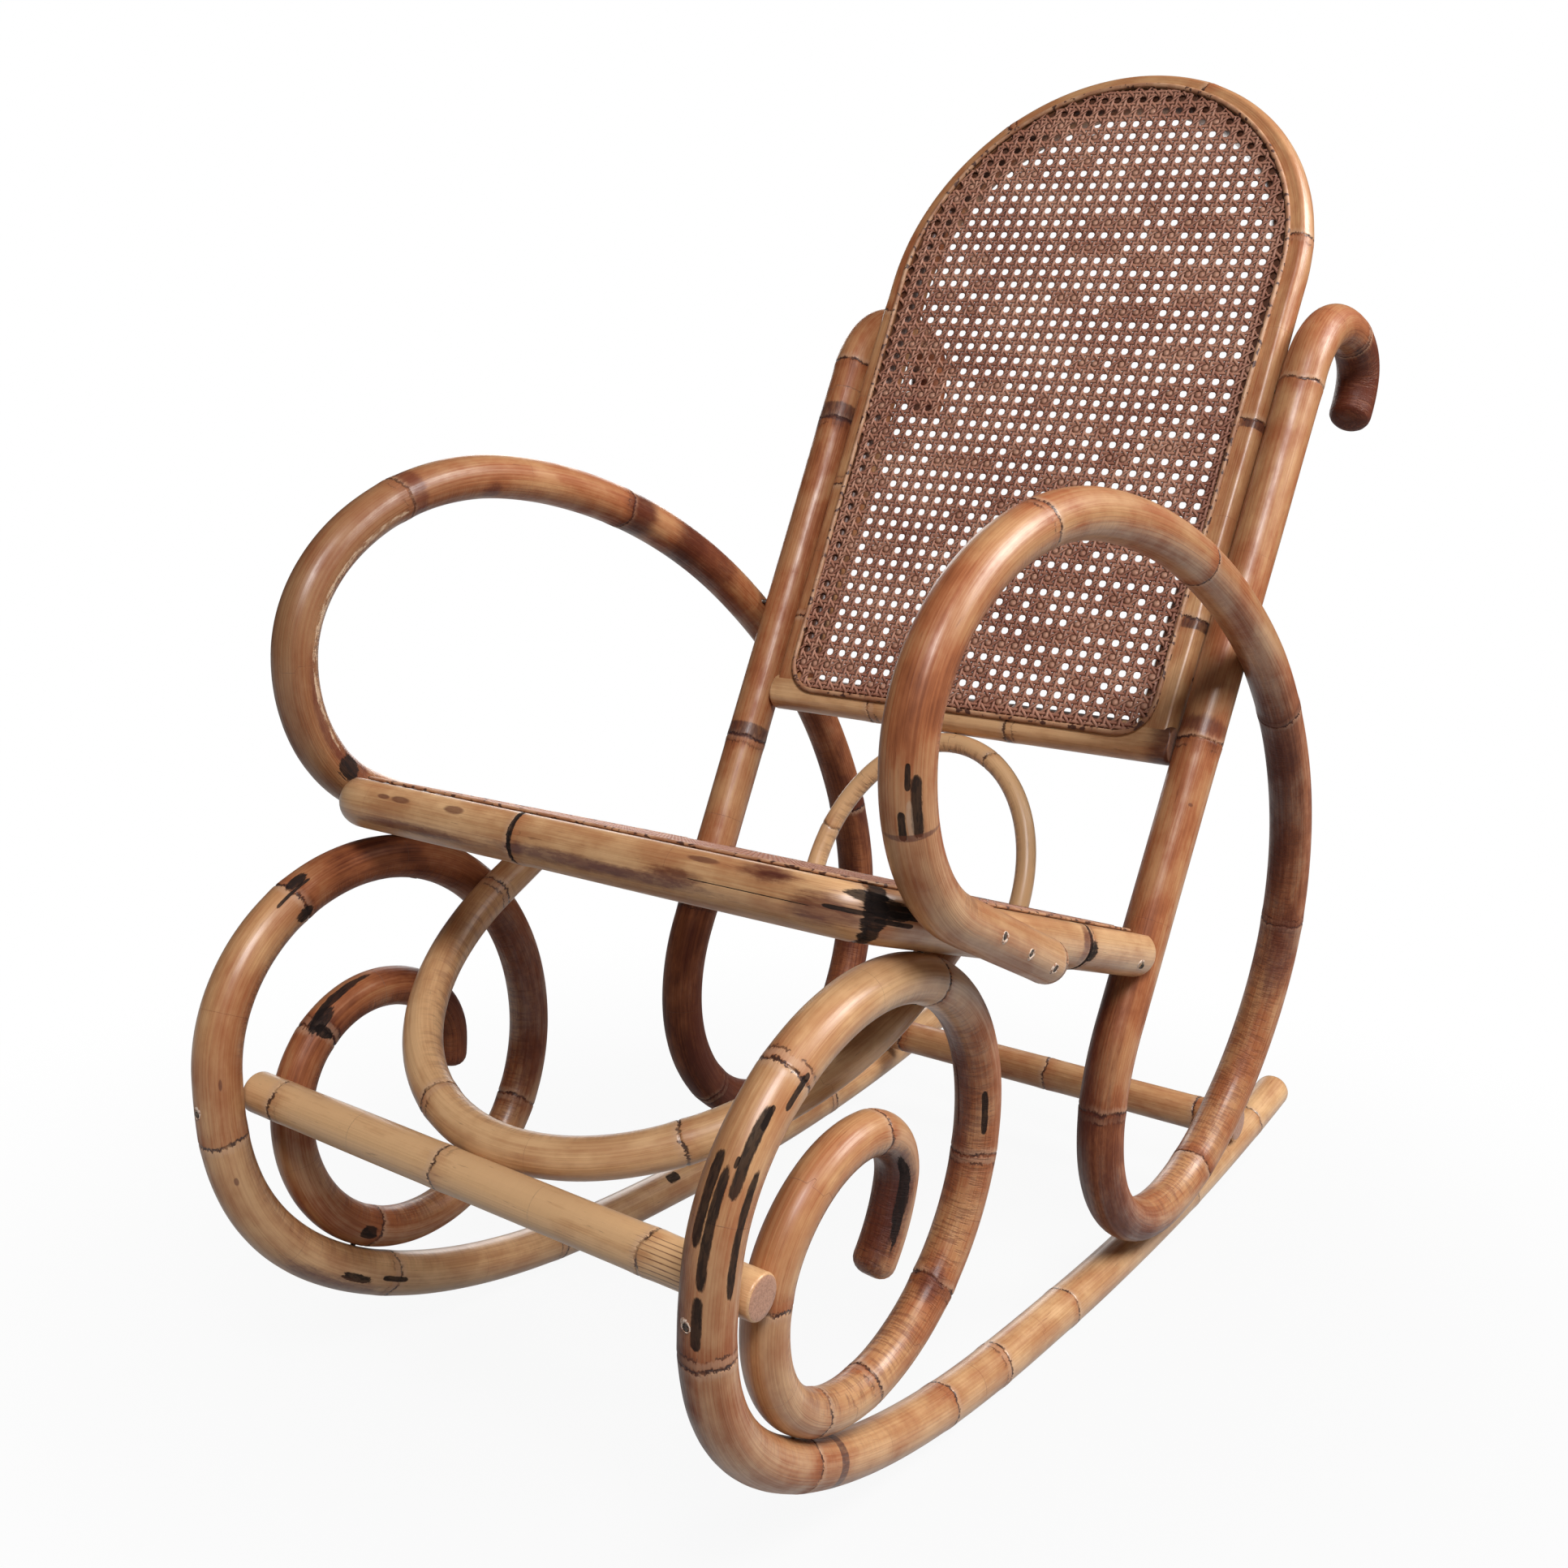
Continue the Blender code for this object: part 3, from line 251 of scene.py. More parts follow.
def stretched_noise(tree, place, across, along, detail, roughness=0.6):
    """Noise with one scale across the cane and another along it."""
    scaled = add(tree, "ShaderNodeVectorMath", {0: place, 1: (across, across, along)}, operation="MULTIPLY")
    noise = {"Vector": scaled.outputs[0], "Scale": 1.0, "Detail": detail, "Roughness": roughness}
    return add(tree, "ShaderNodeTexNoise", noise).outputs["Fac"]


tree = CANE_FIBRE
for layer, (across, along, detail, low, high) in FIBRES.items():
    noise = stretched_noise(tree, given["Straight"], across, along, detail)
    tree.links.new(soft_step(tree, noise, low, high), out[layer])
print("fibre group has", len(tree.nodes), "nodes")

# %% Group for rings
RAGGED_BY, TICKS_BY = 0.0060, 0.0050
LINE_EDGE, LINE_CORE = 0.0017, 0.0004
SECOND_PAST, SECOND_EDGE, SECOND_CORE, SECOND_STRENGTH = 0.0075, 0.0014, 0.0003, 0.75
FRINGE_REACH, PALE_REACH = 0.018, 0.007

CANE_RING, given, out = new_group(
    "cane_ring", [("Straight", "NodeSocketVector"), ("Ring", "NodeSocketFloat")], ["Line", "Fringe", "Pale"]
)
tree = CANE_RING
ragged = calc(tree, "SUBTRACT", stretched_noise(tree, given["Straight"], 300, 300, 3), 0.5)
ticks = calc(tree, "SUBTRACT", stretched_noise(tree, given["Straight"], 640, 90, 2), 0.5)
away = calc(tree, "MULTIPLY_ADD", ragged, RAGGED_BY, given["Ring"])
away = calc(tree, "MULTIPLY_ADD", ticks, TICKS_BY, away)
kind = stretched_noise(tree, given["Straight"], 3, 31, 1)
broken = soft_step(tree, stretched_noise(tree, given["Straight"], 95, 30, 2), 0.36, 0.52)
first = soft_step(tree, calc(tree, "ABSOLUTE", away), LINE_EDGE, LINE_CORE)
first = calc(tree, "MULTIPLY", first, calc(tree, "MULTIPLY_ADD", broken, 0.6, 0.4))
past = calc(tree, "SUBTRACT", away, SECOND_PAST)
second = soft_step(tree, calc(tree, "ABSOLUTE", past), SECOND_EDGE, SECOND_CORE)
doubled = calc(tree, "ADD", kind, calc(tree, "MULTIPLY", broken, 0.25))
second = calc(tree, "MULTIPLY", second, soft_step(tree, doubled, 0.68, 0.82))
second = calc(tree, "MULTIPLY", second, SECOND_STRENGTH)
tree.links.new(calc(tree, "MAXIMUM", first, second), out["Line"])
fringe = soft_step(tree, away, FRINGE_REACH, 0.0)
fringe = calc(tree, "MULTIPLY", fringe, soft_step(tree, away, -0.001, 0.001))
tree.links.new(fringe, out["Fringe"])
before = soft_step(tree, away, -PALE_REACH, -0.002)
before = calc(tree, "MULTIPLY", before, soft_step(tree, away, 0.0, -0.0015))
between = calc(tree, "MULTIPLY", soft_step(tree, away, 0.001, 0.0025), soft_step(tree, past, 0.0, -0.002))
between = calc(tree, "MULTIPLY", between, soft_step(tree, kind, 0.46, 0.60))
tree.links.new(calc(tree, "MAXIMUM", before, between), out["Pale"])
print("ring group has", len(tree.nodes), "nodes")

# %% Group for one burnt patch, split or stain, or a patch of painted shade
MARK_VALUES = ("Along", "Turn", "Half Length", "Half Width", "Ragged", "Blunt", "Soft", "Broken")
MARK_INPUTS = [("Straight", "NodeSocketVector")] + [(name, "NodeSocketFloat") for name in MARK_VALUES]
CANE_MARK, given, out = new_group("cane_mark", MARK_INPUTS, ["Mask"])


def towards(tree, place, direction):
    """How far a place lies in a direction."""
    pair = {0: place, 1: direction}
    return add(tree, "ShaderNodeVectorMath", pair, operation="DOT_PRODUCT").outputs["Value"]


tree = CANE_MARK
cosine = calc(tree, "COSINE", given["Turn"])
sine = calc(tree, "SINE", given["Turn"])
facing = add(tree, "ShaderNodeCombineXYZ", {0: cosine, 1: sine}).outputs[0]
sideways = add(tree, "ShaderNodeCombineXYZ", {0: calc(tree, "MULTIPLY", sine, -1.0), 1: cosine}).outputs[0]
front = towards(tree, given["Straight"], facing)
side = towards(tree, given["Straight"], sideways)
height = add(tree, "ShaderNodeSeparateXYZ", {0: given["Straight"]}).outputs[2]
across = calc(tree, "POWER", calc(tree, "DIVIDE", side, given["Half Width"]), 2.0)
along = calc(tree, "DIVIDE", calc(tree, "SUBTRACT", height, given["Along"]), given["Half Length"])
along = calc(tree, "POWER", calc(tree, "ABSOLUTE", along), given["Blunt"])
oval = calc(tree, "SQRT", calc(tree, "ADD", across, along))
fibrous = stretched_noise(tree, given["Straight"], 330, 34, 4, 0.7)
fine = stretched_noise(tree, given["Straight"], 480, 170, 3, 0.7)
rough_edge = calc(tree, "MULTIPLY_ADD", fine, 0.55, calc(tree, "MULTIPLY", fibrous, 0.75))
rough_edge = calc(tree, "SUBTRACT", rough_edge, 0.65)
reach = calc(tree, "MULTIPLY_ADD", rough_edge, given["Ragged"], oval)
outer = calc(tree, "ADD", 1.0, given["Soft"])
inner = calc(tree, "SUBTRACT", 1.0, given["Soft"])
inside = soft_step(tree, reach, outer, inner)
wide = calc(tree, "MAXIMUM", calc(tree, "MULTIPLY_ADD", given["Half Width"], 10.0, -0.2), 0.0)
seen_side = soft_step(tree, calc(tree, "ADD", front, wide), 0.0, 0.003)
holes = soft_step(tree, stretched_noise(tree, given["Straight"], 300, 85, 4, 0.65), 0.56, 0.44)
whole = calc(tree, "SUBTRACT", 1.0, calc(tree, "MULTIPLY", holes, given["Broken"]))
tree.links.new(calc(tree, "MULTIPLY", calc(tree, "MULTIPLY", inside, seen_side), whole), out["Mask"])
print("mark group has", len(tree.nodes), "nodes")

# %% Group for creases inside a bend
CANE_CREASE, given, out = new_group(
    "cane_crease", [("Straight", "NodeSocketVector"), ("Bend", "NodeSocketFloat")], ["Crease"]
)
tree = CANE_CREASE
waves = soft_step(tree, stretched_noise(tree, given["Straight"], 52, 330, 3, 0.65), 0.46, 0.6)
tree.links.new(calc(tree, "MULTIPLY", waves, soft_step(tree, given["Bend"], -0.05, 0.40)), out["Crease"])
print("crease group has", len(tree.nodes), "nodes")

# %% [markdown]
# ## The canes' finish
# One function makes the finish of every cane. Its colour runs from pale straw over honey to russet and dark
# brown, chosen by a tone that the cane carries, which clouds and fibres shift a little. Marks are laid over
# that one by one, each at the place on the cane where the photograph shows it. The tones and a few of the
# marks also paint shade, and in one place a highlight.

# %% Colours and marks
STRAW = (0.690, 0.425, 0.210, 1.0)
HONEY = (0.488, 0.246, 0.106, 1.0)
RUSSET = (0.335, 0.112, 0.042, 1.0)
DARK = (0.108, 0.025, 0.011, 1.0)
RING_BROWN = (0.034, 0.011, 0.008, 1.0)
RING_PALE = (0.560, 0.360, 0.235, 1.0)
# CREASE_SHADE_BROWN darkens the creases inside the bends: partly their own colour, partly painted shade in
# them
CREASE_SHADE_BROWN = (0.190, 0.062, 0.028, 1.0)
CUT_WOOD = (0.450, 0.235, 0.148, 1.0)
CUT_PORE = (0.350, 0.170, 0.102, 1.0)
# LAND_PAINTED_SHADE is painted shade on the land's inner side, under the woven sheet's edge
LAND_PAINTED_SHADE = (0.085, 0.030, 0.014, 1.0)
TONE_STOPS = ((0.0, STRAW), (0.32, HONEY), (0.66, RUSSET), (1.0, DARK))
CLOUD_SHIFT, STREAK_SHIFT, HAIR_SHIFT, FRINGE_SHIFT = 0.36, 0.09, 0.12, 0.22
PORE_SHARE, CREASE_SHARE, PALE_SHARE, LINE_SHARE = 0.35, 0.55, 0.40, 0.93
VARNISH_LEAST, VARNISH_GAIN, DULL_TONE, GLOSSY_TONE = 0.05, 0.95, 0.80, 0.25
ROUGH_LEAST, ROUGH_GAIN, BURNT_ROUGH, CUT_ROUGH = 0.42, 0.14, 0.3, 0.35
HAIR_HEIGHT, CREASE_HEIGHT, LINE_HEIGHT = 0.12, -0.42, -0.45
MARK_HEIGHT = {"split": -0.9, "burn": -0.3}
# Each kind of mark: colour, strength, raggedness, bluntness of its ends, softness of its edge, gaps in it
MARKS = {
    "burn": ((0.012, 0.008, 0.007, 1.0), 0.97, 1.3, 2.0, 0.10, 0.08),
    "split": ((0.016, 0.010, 0.008, 1.0), 0.97, 1.0, 8.0, 0.15, 0.06),
    "stain": ((0.125, 0.030, 0.014, 1.0), 0.86, 1.3, 2.0, 0.42, 0.20),
    "band": ((0.060, 0.022, 0.019, 1.0), 0.82, 0.9, 4.0, 0.25, 0.25),
    "spot": ((0.140, 0.044, 0.022, 1.0), 0.82, 0.5, 2.0, 0.22, 0.10),
    "bare": ((0.540, 0.380, 0.260, 1.0), 0.55, 1.2, 4.0, 0.20, 0.30),
    # smoke is a smoky dark brown: a real mark on some canes, and painted shade on others
    "smoke": ((0.072, 0.013, 0.006, 1.0), 0.90, 0.9, 2.0, 0.55, 0.10),
    # dull is painted shade: it darkens a stretch of cane without reddening it
    "dull": ((0.150, 0.068, 0.030, 1.0), 0.55, 0.6, 2.0, 0.60, 0.0),
    "peel": ((0.600, 0.430, 0.285, 1.0), 0.90, 1.6, 2.0, 0.12, 0.95),
}
print(len(MARKS), "kinds of mark")


# %% Cane finish
def reading(tree, name):
    """What a cane's points carry under a name."""
    return add(tree, "ShaderNodeAttribute", attribute_name=name).outputs


def shifted(tree, tone, value, share):
    """A tone moved up or down by a value between 0 and 1."""
    return calc(tree, "MULTIPLY_ADD", calc(tree, "SUBTRACT", value, 0.5), share, tone)


def tone_ramp(tree, value, stops):
    """A colour for a value, from stops of place and colour."""
    ramp = add(tree, "ShaderNodeValToRGB", {"Fac": value})
    for k, (place, colour) in enumerate(stops):
        stop = ramp.color_ramp.elements[k] if k < 2 else ramp.color_ramp.elements.new(place)
        stop.position = place
        stop.color = colour
    return ramp.outputs["Color"]


def cane_finish(name, marks=()):
    """A varnished cane. Each mark is (kind, metres along, degrees round, half length, half width)."""
    made, tree, shader = new_material(name)
    straight = reading(tree, "straight")["Vector"]
    fibre = use(tree, CANE_FIBRE, {"Straight": straight})
    ring = use(tree, CANE_RING, {"Straight": straight, "Ring": reading(tree, "ring")["Fac"]})
    crease = use(tree, CANE_CREASE, {"Straight": straight, "Bend": reading(tree, "bend")["Fac"]})["Crease"]
    tone = shifted(tree, reading(tree, "tone")["Fac"], fibre["Cloud"], CLOUD_SHIFT)
    tone = shifted(tree, tone, fibre["Streak"], STREAK_SHIFT)
    tone = shifted(tree, tone, fibre["Hair"], HAIR_SHIFT)
    tone = calc(tree, "MULTIPLY_ADD", ring["Fringe"], FRINGE_SHIFT, tone)
    colour = tone_ramp(tree, tone, TONE_STOPS)
    layers = (
        # the crease layer is partly painted shade
        (fibre["Pore"], PORE_SHARE, DARK), (crease, CREASE_SHARE, CREASE_SHADE_BROWN),
        (ring["Pale"], PALE_SHARE, RING_PALE), (ring["Line"], LINE_SHARE, RING_BROWN),
    )
    for layer, share, shade in layers:
        colour = tint(tree, calc(tree, "MULTIPLY", layer, share), colour, shade)
    glossy = soft_step(tree, tone, DULL_TONE, GLOSSY_TONE)
    varnish = calc(tree, "MULTIPLY_ADD", glossy, VARNISH_GAIN, VARNISH_LEAST)
    rough = calc(tree, "MULTIPLY_ADD", fibre["Streak"], ROUGH_GAIN, ROUGH_LEAST)
    height = calc(tree, "MULTIPLY", crease, CREASE_HEIGHT)
    height = calc(tree, "MULTIPLY_ADD", fibre["Hair"], HAIR_HEIGHT, height)
    height = calc(tree, "MULTIPLY_ADD", ring["Line"], LINE_HEIGHT, height)
    for kind, along, turn, half_length, half_width in marks:
        shade, strength, *edge = MARKS[kind]
        values = (along, math.radians(turn), half_length, half_width, *edge)
        spot = use(tree, CANE_MARK, {"Straight": straight, **dict(zip(MARK_VALUES, values))})["Mask"]
        colour = tint(tree, calc(tree, "MULTIPLY", spot, strength), colour, shade)
        if kind in MARK_HEIGHT:
            rough = calc(tree, "MULTIPLY_ADD", spot, BURNT_ROUGH, rough)
            varnish = calc(tree, "MULTIPLY", varnish, calc(tree, "SUBTRACT", 1.0, spot))
            height = calc(tree, "MULTIPLY_ADD", spot, MARK_HEIGHT[kind], height)
    # painted shade: the land under the sheet's edge is darkened as if in shadow
    colour = tint(tree, reading(tree, "land")["Fac"], colour, LAND_PAINTED_SHADE)
    cut = reading(tree, "cut")["Fac"]
    grain = stretched_noise(tree, straight, 700, 700, 2)
    colour = tint(tree, cut, colour, tint(tree, soft_step(tree, grain, 0.45, 0.62), CUT_WOOD, CUT_PORE))
    rough = calc(tree, "MULTIPLY_ADD", cut, CUT_ROUGH, rough)
    dress(tree, shader, colour, rough, height, strength=0.8, depth=0.001)
    tree.links.new(varnish, shader.inputs["Coat Weight"])
    shader.inputs["Specular IOR Level"].default_value = 0.20
    shader.inputs["Coat Roughness"].default_value = 0.33
    return made


print("cane finish runs over", len(TONE_STOPS), "colours")

# %% [markdown]
# ## Rolling a cane
# A bevelled curve would sweep a tube in one step, but its rings can't waver and it knows no place round the
# cane. Here a flat grid of faces is made by one operator and rolled round the centre line instead: a column
# of the grid becomes a line along the cane and a row becomes a ring round it. Rows lie close together at
# each joint, so that its groove and swelling are real shape. The seam and both ends are welded.

# %% Lengths along a cane
RING_ROWS = np.array([-16, -12, -9, -6.5, -5, -4, -3.2, -2.5, -1.9, -1.4, -0.9, -0.45,
                      0, 0.45, 0.9, 1.4, 1.9, 2.5, 3.2, 4, 5, 6.5, 9, 12, 16]) * 0.001
ROW_STEP = 0.0042


def even_path(path):
    """Length along a path at each of its points, and the path as an array."""
    points = np.array([tuple(p) for p in path], float)
    steps = np.linalg.norm(np.diff(points, axis=0), axis=1)
    keep = np.concatenate([[True], steps > 1e-7])
    points = points[keep]
    return np.concatenate([[0.0], np.cumsum(np.linalg.norm(np.diff(points, axis=0), axis=1))]), points


def on_path(s, at, points):
    """The points at lengths s along a path."""
    return np.stack([np.interp(s, at, points[:, k]) for k in range(3)], 1)


def row_places(whole, rings, rim, radius):
    """Rows along a cane, and how far each stands from the axis: the ends close in a rounded rim."""
    middle = list(np.arange(rim, whole - rim, ROW_STEP)) + [whole - rim]
    for ring in rings:
        middle += list(ring + RING_ROWS)
    middle = np.unique(np.round([s for s in middle if rim <= s <= whole - rim], 5))
    turn = np.linspace(0, math.pi / 2, 6)[:-1]
    rim_s = rim * (1 - np.sin(turn))[::-1]
    rim_scale = 1 - (rim / radius) * (1 - np.cos(turn))[::-1]
    ends_s = np.concatenate([[0, 0, 0], rim_s])
    ends_scale = np.concatenate([[0, 0.4, 0.75], rim_scale])
    ends_scale[:3] *= rim_scale[0]
    places = np.concatenate([ends_s, middle, whole - ends_s[::-1]])
    scales = np.concatenate([ends_scale, np.ones(len(middle)), ends_scale[::-1]])
    order = np.argsort(places, kind="stable")
    return places[order], scales[order]


print("rows at each joint", len(RING_ROWS))

# %% A flat grid and what its points carry
LOOK_AHEAD, LOOK_ROUND = 0.003, 0.012
WELD = 0.000004


def flat_grid(name, sides, row_count):
    """A new mesh that is a flat grid, and the row and the angle that each of its points gets on a cane."""
    grid = bmesh.new()
    bmesh.ops.create_grid(grid, x_segments=sides, y_segments=row_count - 1, size=0.5)
    mesh = bpy.data.meshes.new(name)
    grid.to_mesh(mesh)
    grid.free()
    place = np.empty(len(mesh.vertices) * 3, np.float32)
    mesh.vertices.foreach_get("co", place)
    place = place.reshape(-1, 3)
    row = np.rint((place[:, 1] + 0.5) * (row_count - 1)).astype(int)
    return mesh, row, 2 * math.pi * np.rint((place[:, 0] + 0.5) * sides) / sides


def directions(s, angle, at, points, upright):
    """For points at lengths s along a path and at angles round it: the place on the path, the way out at
    angle 0 and at each point's own angle, and how much the path curls that way."""
    axis = on_path(s, at, points)
    ahead = on_path(s + LOOK_AHEAD, at, points) - on_path(s - LOOK_AHEAD, at, points)
    ahead /= np.linalg.norm(ahead, axis=1)[:, None]
    later = on_path(s + LOOK_ROUND, at, points)
    earlier = on_path(s - LOOK_ROUND, at, points)
    curl = (later + earlier - 2 * axis) / LOOK_ROUND ** 2
    up = np.array(upright, float)
    out = up - (ahead @ up)[:, None] * ahead
    out /= np.linalg.norm(out, axis=1)[:, None]
    over = np.cross(ahead, out)
    normal = out * np.cos(angle)[:, None] + over * np.sin(angle)[:, None]
    return axis, out, normal, (curl * normal).sum(1)


def carry(mesh, label, values):
    """Stores a number or a place for each point of a mesh under a name."""
    kind, field = ("FLOAT", "value") if values.ndim == 1 else ("FLOAT_VECTOR", "vector")
    carried = mesh.attributes.new(label, kind, "POINT")
    carried.data.foreach_set(field, values.astype(np.float32).ravel())


def weld(mesh):
    """Joins the seam and the ends of a rolled grid and turns its faces outwards."""
    work = bmesh.new()
    work.from_mesh(mesh)
    bmesh.ops.remove_doubles(work, verts=work.verts, dist=WELD)
    bmesh.ops.recalc_face_normals(work, faces=work.faces)
    work.to_mesh(mesh)
    work.free()


print("points closer than", WELD, "m are welded")


# %% Into the scene
def settle(name, mesh, material, replaces):
    """Puts a finished mesh in the scene, on the chair's one body, in place of its CAD nodes."""
    mesh.shade_smooth()
    mesh.materials.clear()
    mesh.materials.append(material)
    obj = bpy.data.objects.new(name, mesh)
    bpy.context.scene.collection.objects.link(obj)
    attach(obj, "root")
    if replaces:
        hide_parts(*replaces)
    print(name, len(mesh.polygons), "faces")
    return obj


print("every piece rides on the chair's one body")

# %% Rolling helper
SWELL, SWELL_REACH = 0.030, 0.0075
GROOVE, GROOVE_REACH = 0.00055, 0.0009
RING_WAVER, NO_RING, RING_TONE = 0.0013, 0.2, 0.06
RIPPLE = 0.006
BEND_GAIN = 4
LAND_SIDE, LAND_TOP = 0.05, 0.25
CUT_INSIDE = 0.9


def waver(rng, count, size):
    """A smooth random line round a cane or along it, as a function of its angle."""
    turns = np.arange(1, count + 1)
    sizes = size * rng.uniform(0.4, 1.0, count) / turns ** 0.6
    phases = rng.uniform(0, 2 * math.pi, count)
    return lambda angle: sum(a * np.sin(k * angle + p) for a, k, p in zip(sizes, turns, phases))


def roll_cane(name, path, radii, upright, rings, tones, material, replaces, sides=36, rim=0.004,
              flat=None, ends=(1.0, 1.0), seed=1):
    """A cane along a path. rings are lengths along it, and tones are pairs of a length and a tone, from 0
    for pale to 1 for dark. upright is the direction that angle 0 faces. flat cuts a land off that side at
    a height, tells which side of it lies under the sheet, where the land gets painted shade, and how far
    from both ends that painted shade keeps off. ends says how bare the two cut ends are."""
    rng = np.random.default_rng(seed)
    at, points = even_path(path)
    whole = at[-1]
    rows, scales = row_places(whole, rings, rim, min(radii))
    mesh, row, angle = flat_grid(name, sides, len(rows))
    s, scale = rows[row], scales[row]
    axis, out, normal, curl = directions(s, angle, at, points, upright)

    spread = np.linspace(0, whole, len(radii)) if len(radii) < len(path) else at
    size = np.interp(s, spread, radii[:len(spread)])
    ripple = waver(rng, 5, RIPPLE)
    size = size * (1 + ripple(s * 9) + RIPPLE * np.cos(2 * angle + 5 * s))
    ring = np.full(len(s), NO_RING)
    tone = np.interp(s, [p for p, v in tones], [v for p, v in tones])
    for place in rings:
        line = waver(rng, 7, RING_WAVER)
        away = s - place - line(angle)
        size = size + SWELL * size * np.exp(-(away / SWELL_REACH) ** 2) * rng.uniform(0.5, 1.0)
        size = size - GROOVE * np.exp(-(away / GROOVE_REACH) ** 2)
        ring = np.where(np.abs(away) < np.abs(ring), away, ring)
        tone = tone + np.where(s > place, rng.uniform(-RING_TONE, RING_TONE), 0.0)
    size = size * scale

    placed = axis + normal * size[:, None]
    land = np.zeros(len(s))
    if flat:
        level, inner, first, last = flat
        excess = np.maximum(np.cos(angle) * size - level, 0.0)
        placed = placed - out * excess[:, None]
        # the land's inner side, under the sheet's edge, is marked for painted shade
        under = (np.sin(angle) * inner > LAND_SIDE) & (np.cos(angle) > LAND_TOP)
        land = (under & (s > first) & (s < whole - last)).astype(float)
    placed[:, 1] += MODEL_Y
    placed[:, 2] = np.maximum(placed[:, 2], 0.0)
    mesh.vertices.foreach_set("co", placed.astype(np.float32).ravel())
    carried = {
        "straight": np.stack([size * np.cos(angle), size * np.sin(angle), s], 1),
        "ring": ring,
        "tone": tone,
        "bend": np.clip(curl * np.mean(radii) * BEND_GAIN, -1, 1),
        "cut": (scale < CUT_INSIDE) * np.where(s < whole / 2, ends[0], ends[1]),
        "land": land,
    }
    for label, values in carried.items():
        carry(mesh, label, values)
    weld(mesh)
    return settle(name, mesh, material, replaces)


print("a cane swells by up to", SWELL, "of its radius at a joint")

# %% [markdown]
# ## Centre lines
# Each long cane is drawn in the side view as a chain of quarter turns between the points where it runs
# level or upright, just as a bender marks it out on the floor. The numbers are those of the CAD model.

# %% Turns and arcs
SIDES = (("left", -1), ("right", 1))


def quarter_turn(start, end, level_first, fullness=2.0, steps=40):
    """Points after start up to end of a quarter turn that leaves start level or upright."""
    points = []
    for step in range(1, steps + 1):
        angle = 0.5 * math.pi * step / steps
        early = math.sin(angle) ** (2 / fullness)
        late = 1 - max(math.cos(angle), 0.0) ** (2 / fullness)
        along, across = (early, late) if level_first else (late, early)
        points.append((start[0] + (end[0] - start[0]) * along, start[1] + (end[1] - start[1]) * across))
    return points


def arc(start, heading, radius, turn, steps=20):
    """Points after start of an arc. A heading is measured from up towards the rear, and so is a turn."""
    side = math.copysign(1, turn)
    centre = (start[0] + side * radius * math.cos(heading), start[1] - side * radius * math.sin(heading))
    points = []
    for step in range(1, steps + 1):
        now = heading + turn * step / steps
        points.append((centre[0] - side * radius * math.cos(now), centre[1] + side * radius * math.sin(now)))
    return points


def straight_run(start, heading, length, steps=20):
    """Points after start of a straight."""
    ahead = (math.sin(heading), math.cos(heading))
    return [(start[0] + ahead[0] * length * k / steps, start[1] + ahead[1] * length * k / steps)
            for k in range(1, steps + 1)]


def taper(points, start_d, end_d, taper_from):
    """Radius at each point: even up to the point numbered taper_from, then an even taper."""
    at = even_path([(0, y, z) for y, z in points])[0]
    share = np.clip((at - at[taper_from]) / (at[-1] - at[taper_from]), 0, 1)
    return list((start_d + (end_d - start_d) * share) / 2)


print("centre line helpers ready")

# %% [markdown]
# ## Runners and scrolls
# One cane makes a runner, the scroll in front and the coil inside it. The two coils end differently: the
# left one stops early, the right one turns on and shows a burnt patch on its inner side, where the rest of
# that side is painted dark as shade. The runner is flat for a hand's width under the chair's weight, as a
# used runner wears.

# %% Runner lines
RUNNER_D, COIL_TIP_D = 0.034, 0.029
RUNNER_X, RUNNER_LEAN = 0.1975, math.radians(4.0)
FLAT_REAR, FLAT_FRONT = 0.015, -0.025
RUNNER_RADIUS, RUNNER_TIP_Y, RUNNER_FULLNESS = 2.54, 0.525, 2.5
SCROLL_FRONT, SCROLL_TOP, SCROLL_REAR = (-0.5035, 0.259), (-0.3545, 0.38855), (-0.194, 0.2305)
COIL_BOTTOM, COIL_FRONT, COIL_TOP = (-0.325, 0.0961), (-0.4425, 0.2085), (-0.358, 0.2895)
COIL_END_BEND = 0.1035
COIL_ENDS = {"left": ((-0.286, 0.236), math.radians(14)), "right": ((-0.3035, 0.243), math.radians(36))}


def runner_path(side):
    """A runner in the side view from its rear tip to the coil's end, and its radius at each point."""
    points = []
    for y in np.linspace(RUNNER_TIP_Y, FLAT_REAR, 60):
        rise = RUNNER_RADIUS - math.sqrt(RUNNER_RADIUS ** 2 - (y - FLAT_REAR) ** 2)
        points.append((y, RUNNER_D / 2 + rise))
    points.append((FLAT_FRONT, RUNNER_D / 2))
    points += quarter_turn(points[-1], SCROLL_FRONT, True, RUNNER_FULLNESS, 80)
    taper_from = len(points) - 1
    points += quarter_turn(SCROLL_FRONT, SCROLL_TOP, False)
    points += quarter_turn(SCROLL_TOP, SCROLL_REAR, True)
    points += quarter_turn(SCROLL_REAR, COIL_BOTTOM, False)
    points += quarter_turn(COIL_BOTTOM, COIL_FRONT, True)
    points += quarter_turn(COIL_FRONT, COIL_TOP, False)
    coil_rear, end_turn = COIL_ENDS[side]
    points += quarter_turn(COIL_TOP, coil_rear, True)
    points += arc(coil_rear, math.pi, COIL_END_BEND, end_turn)
    return points, taper(points, RUNNER_D, COIL_TIP_D, taper_from)


def lean_x(z):
    """How far from the middle a runner stands at a height."""
    return RUNNER_X + (z - RUNNER_D / 2) * math.tan(RUNNER_LEAN)


print("a runner's line has", len(runner_path("left")[0]), "points")

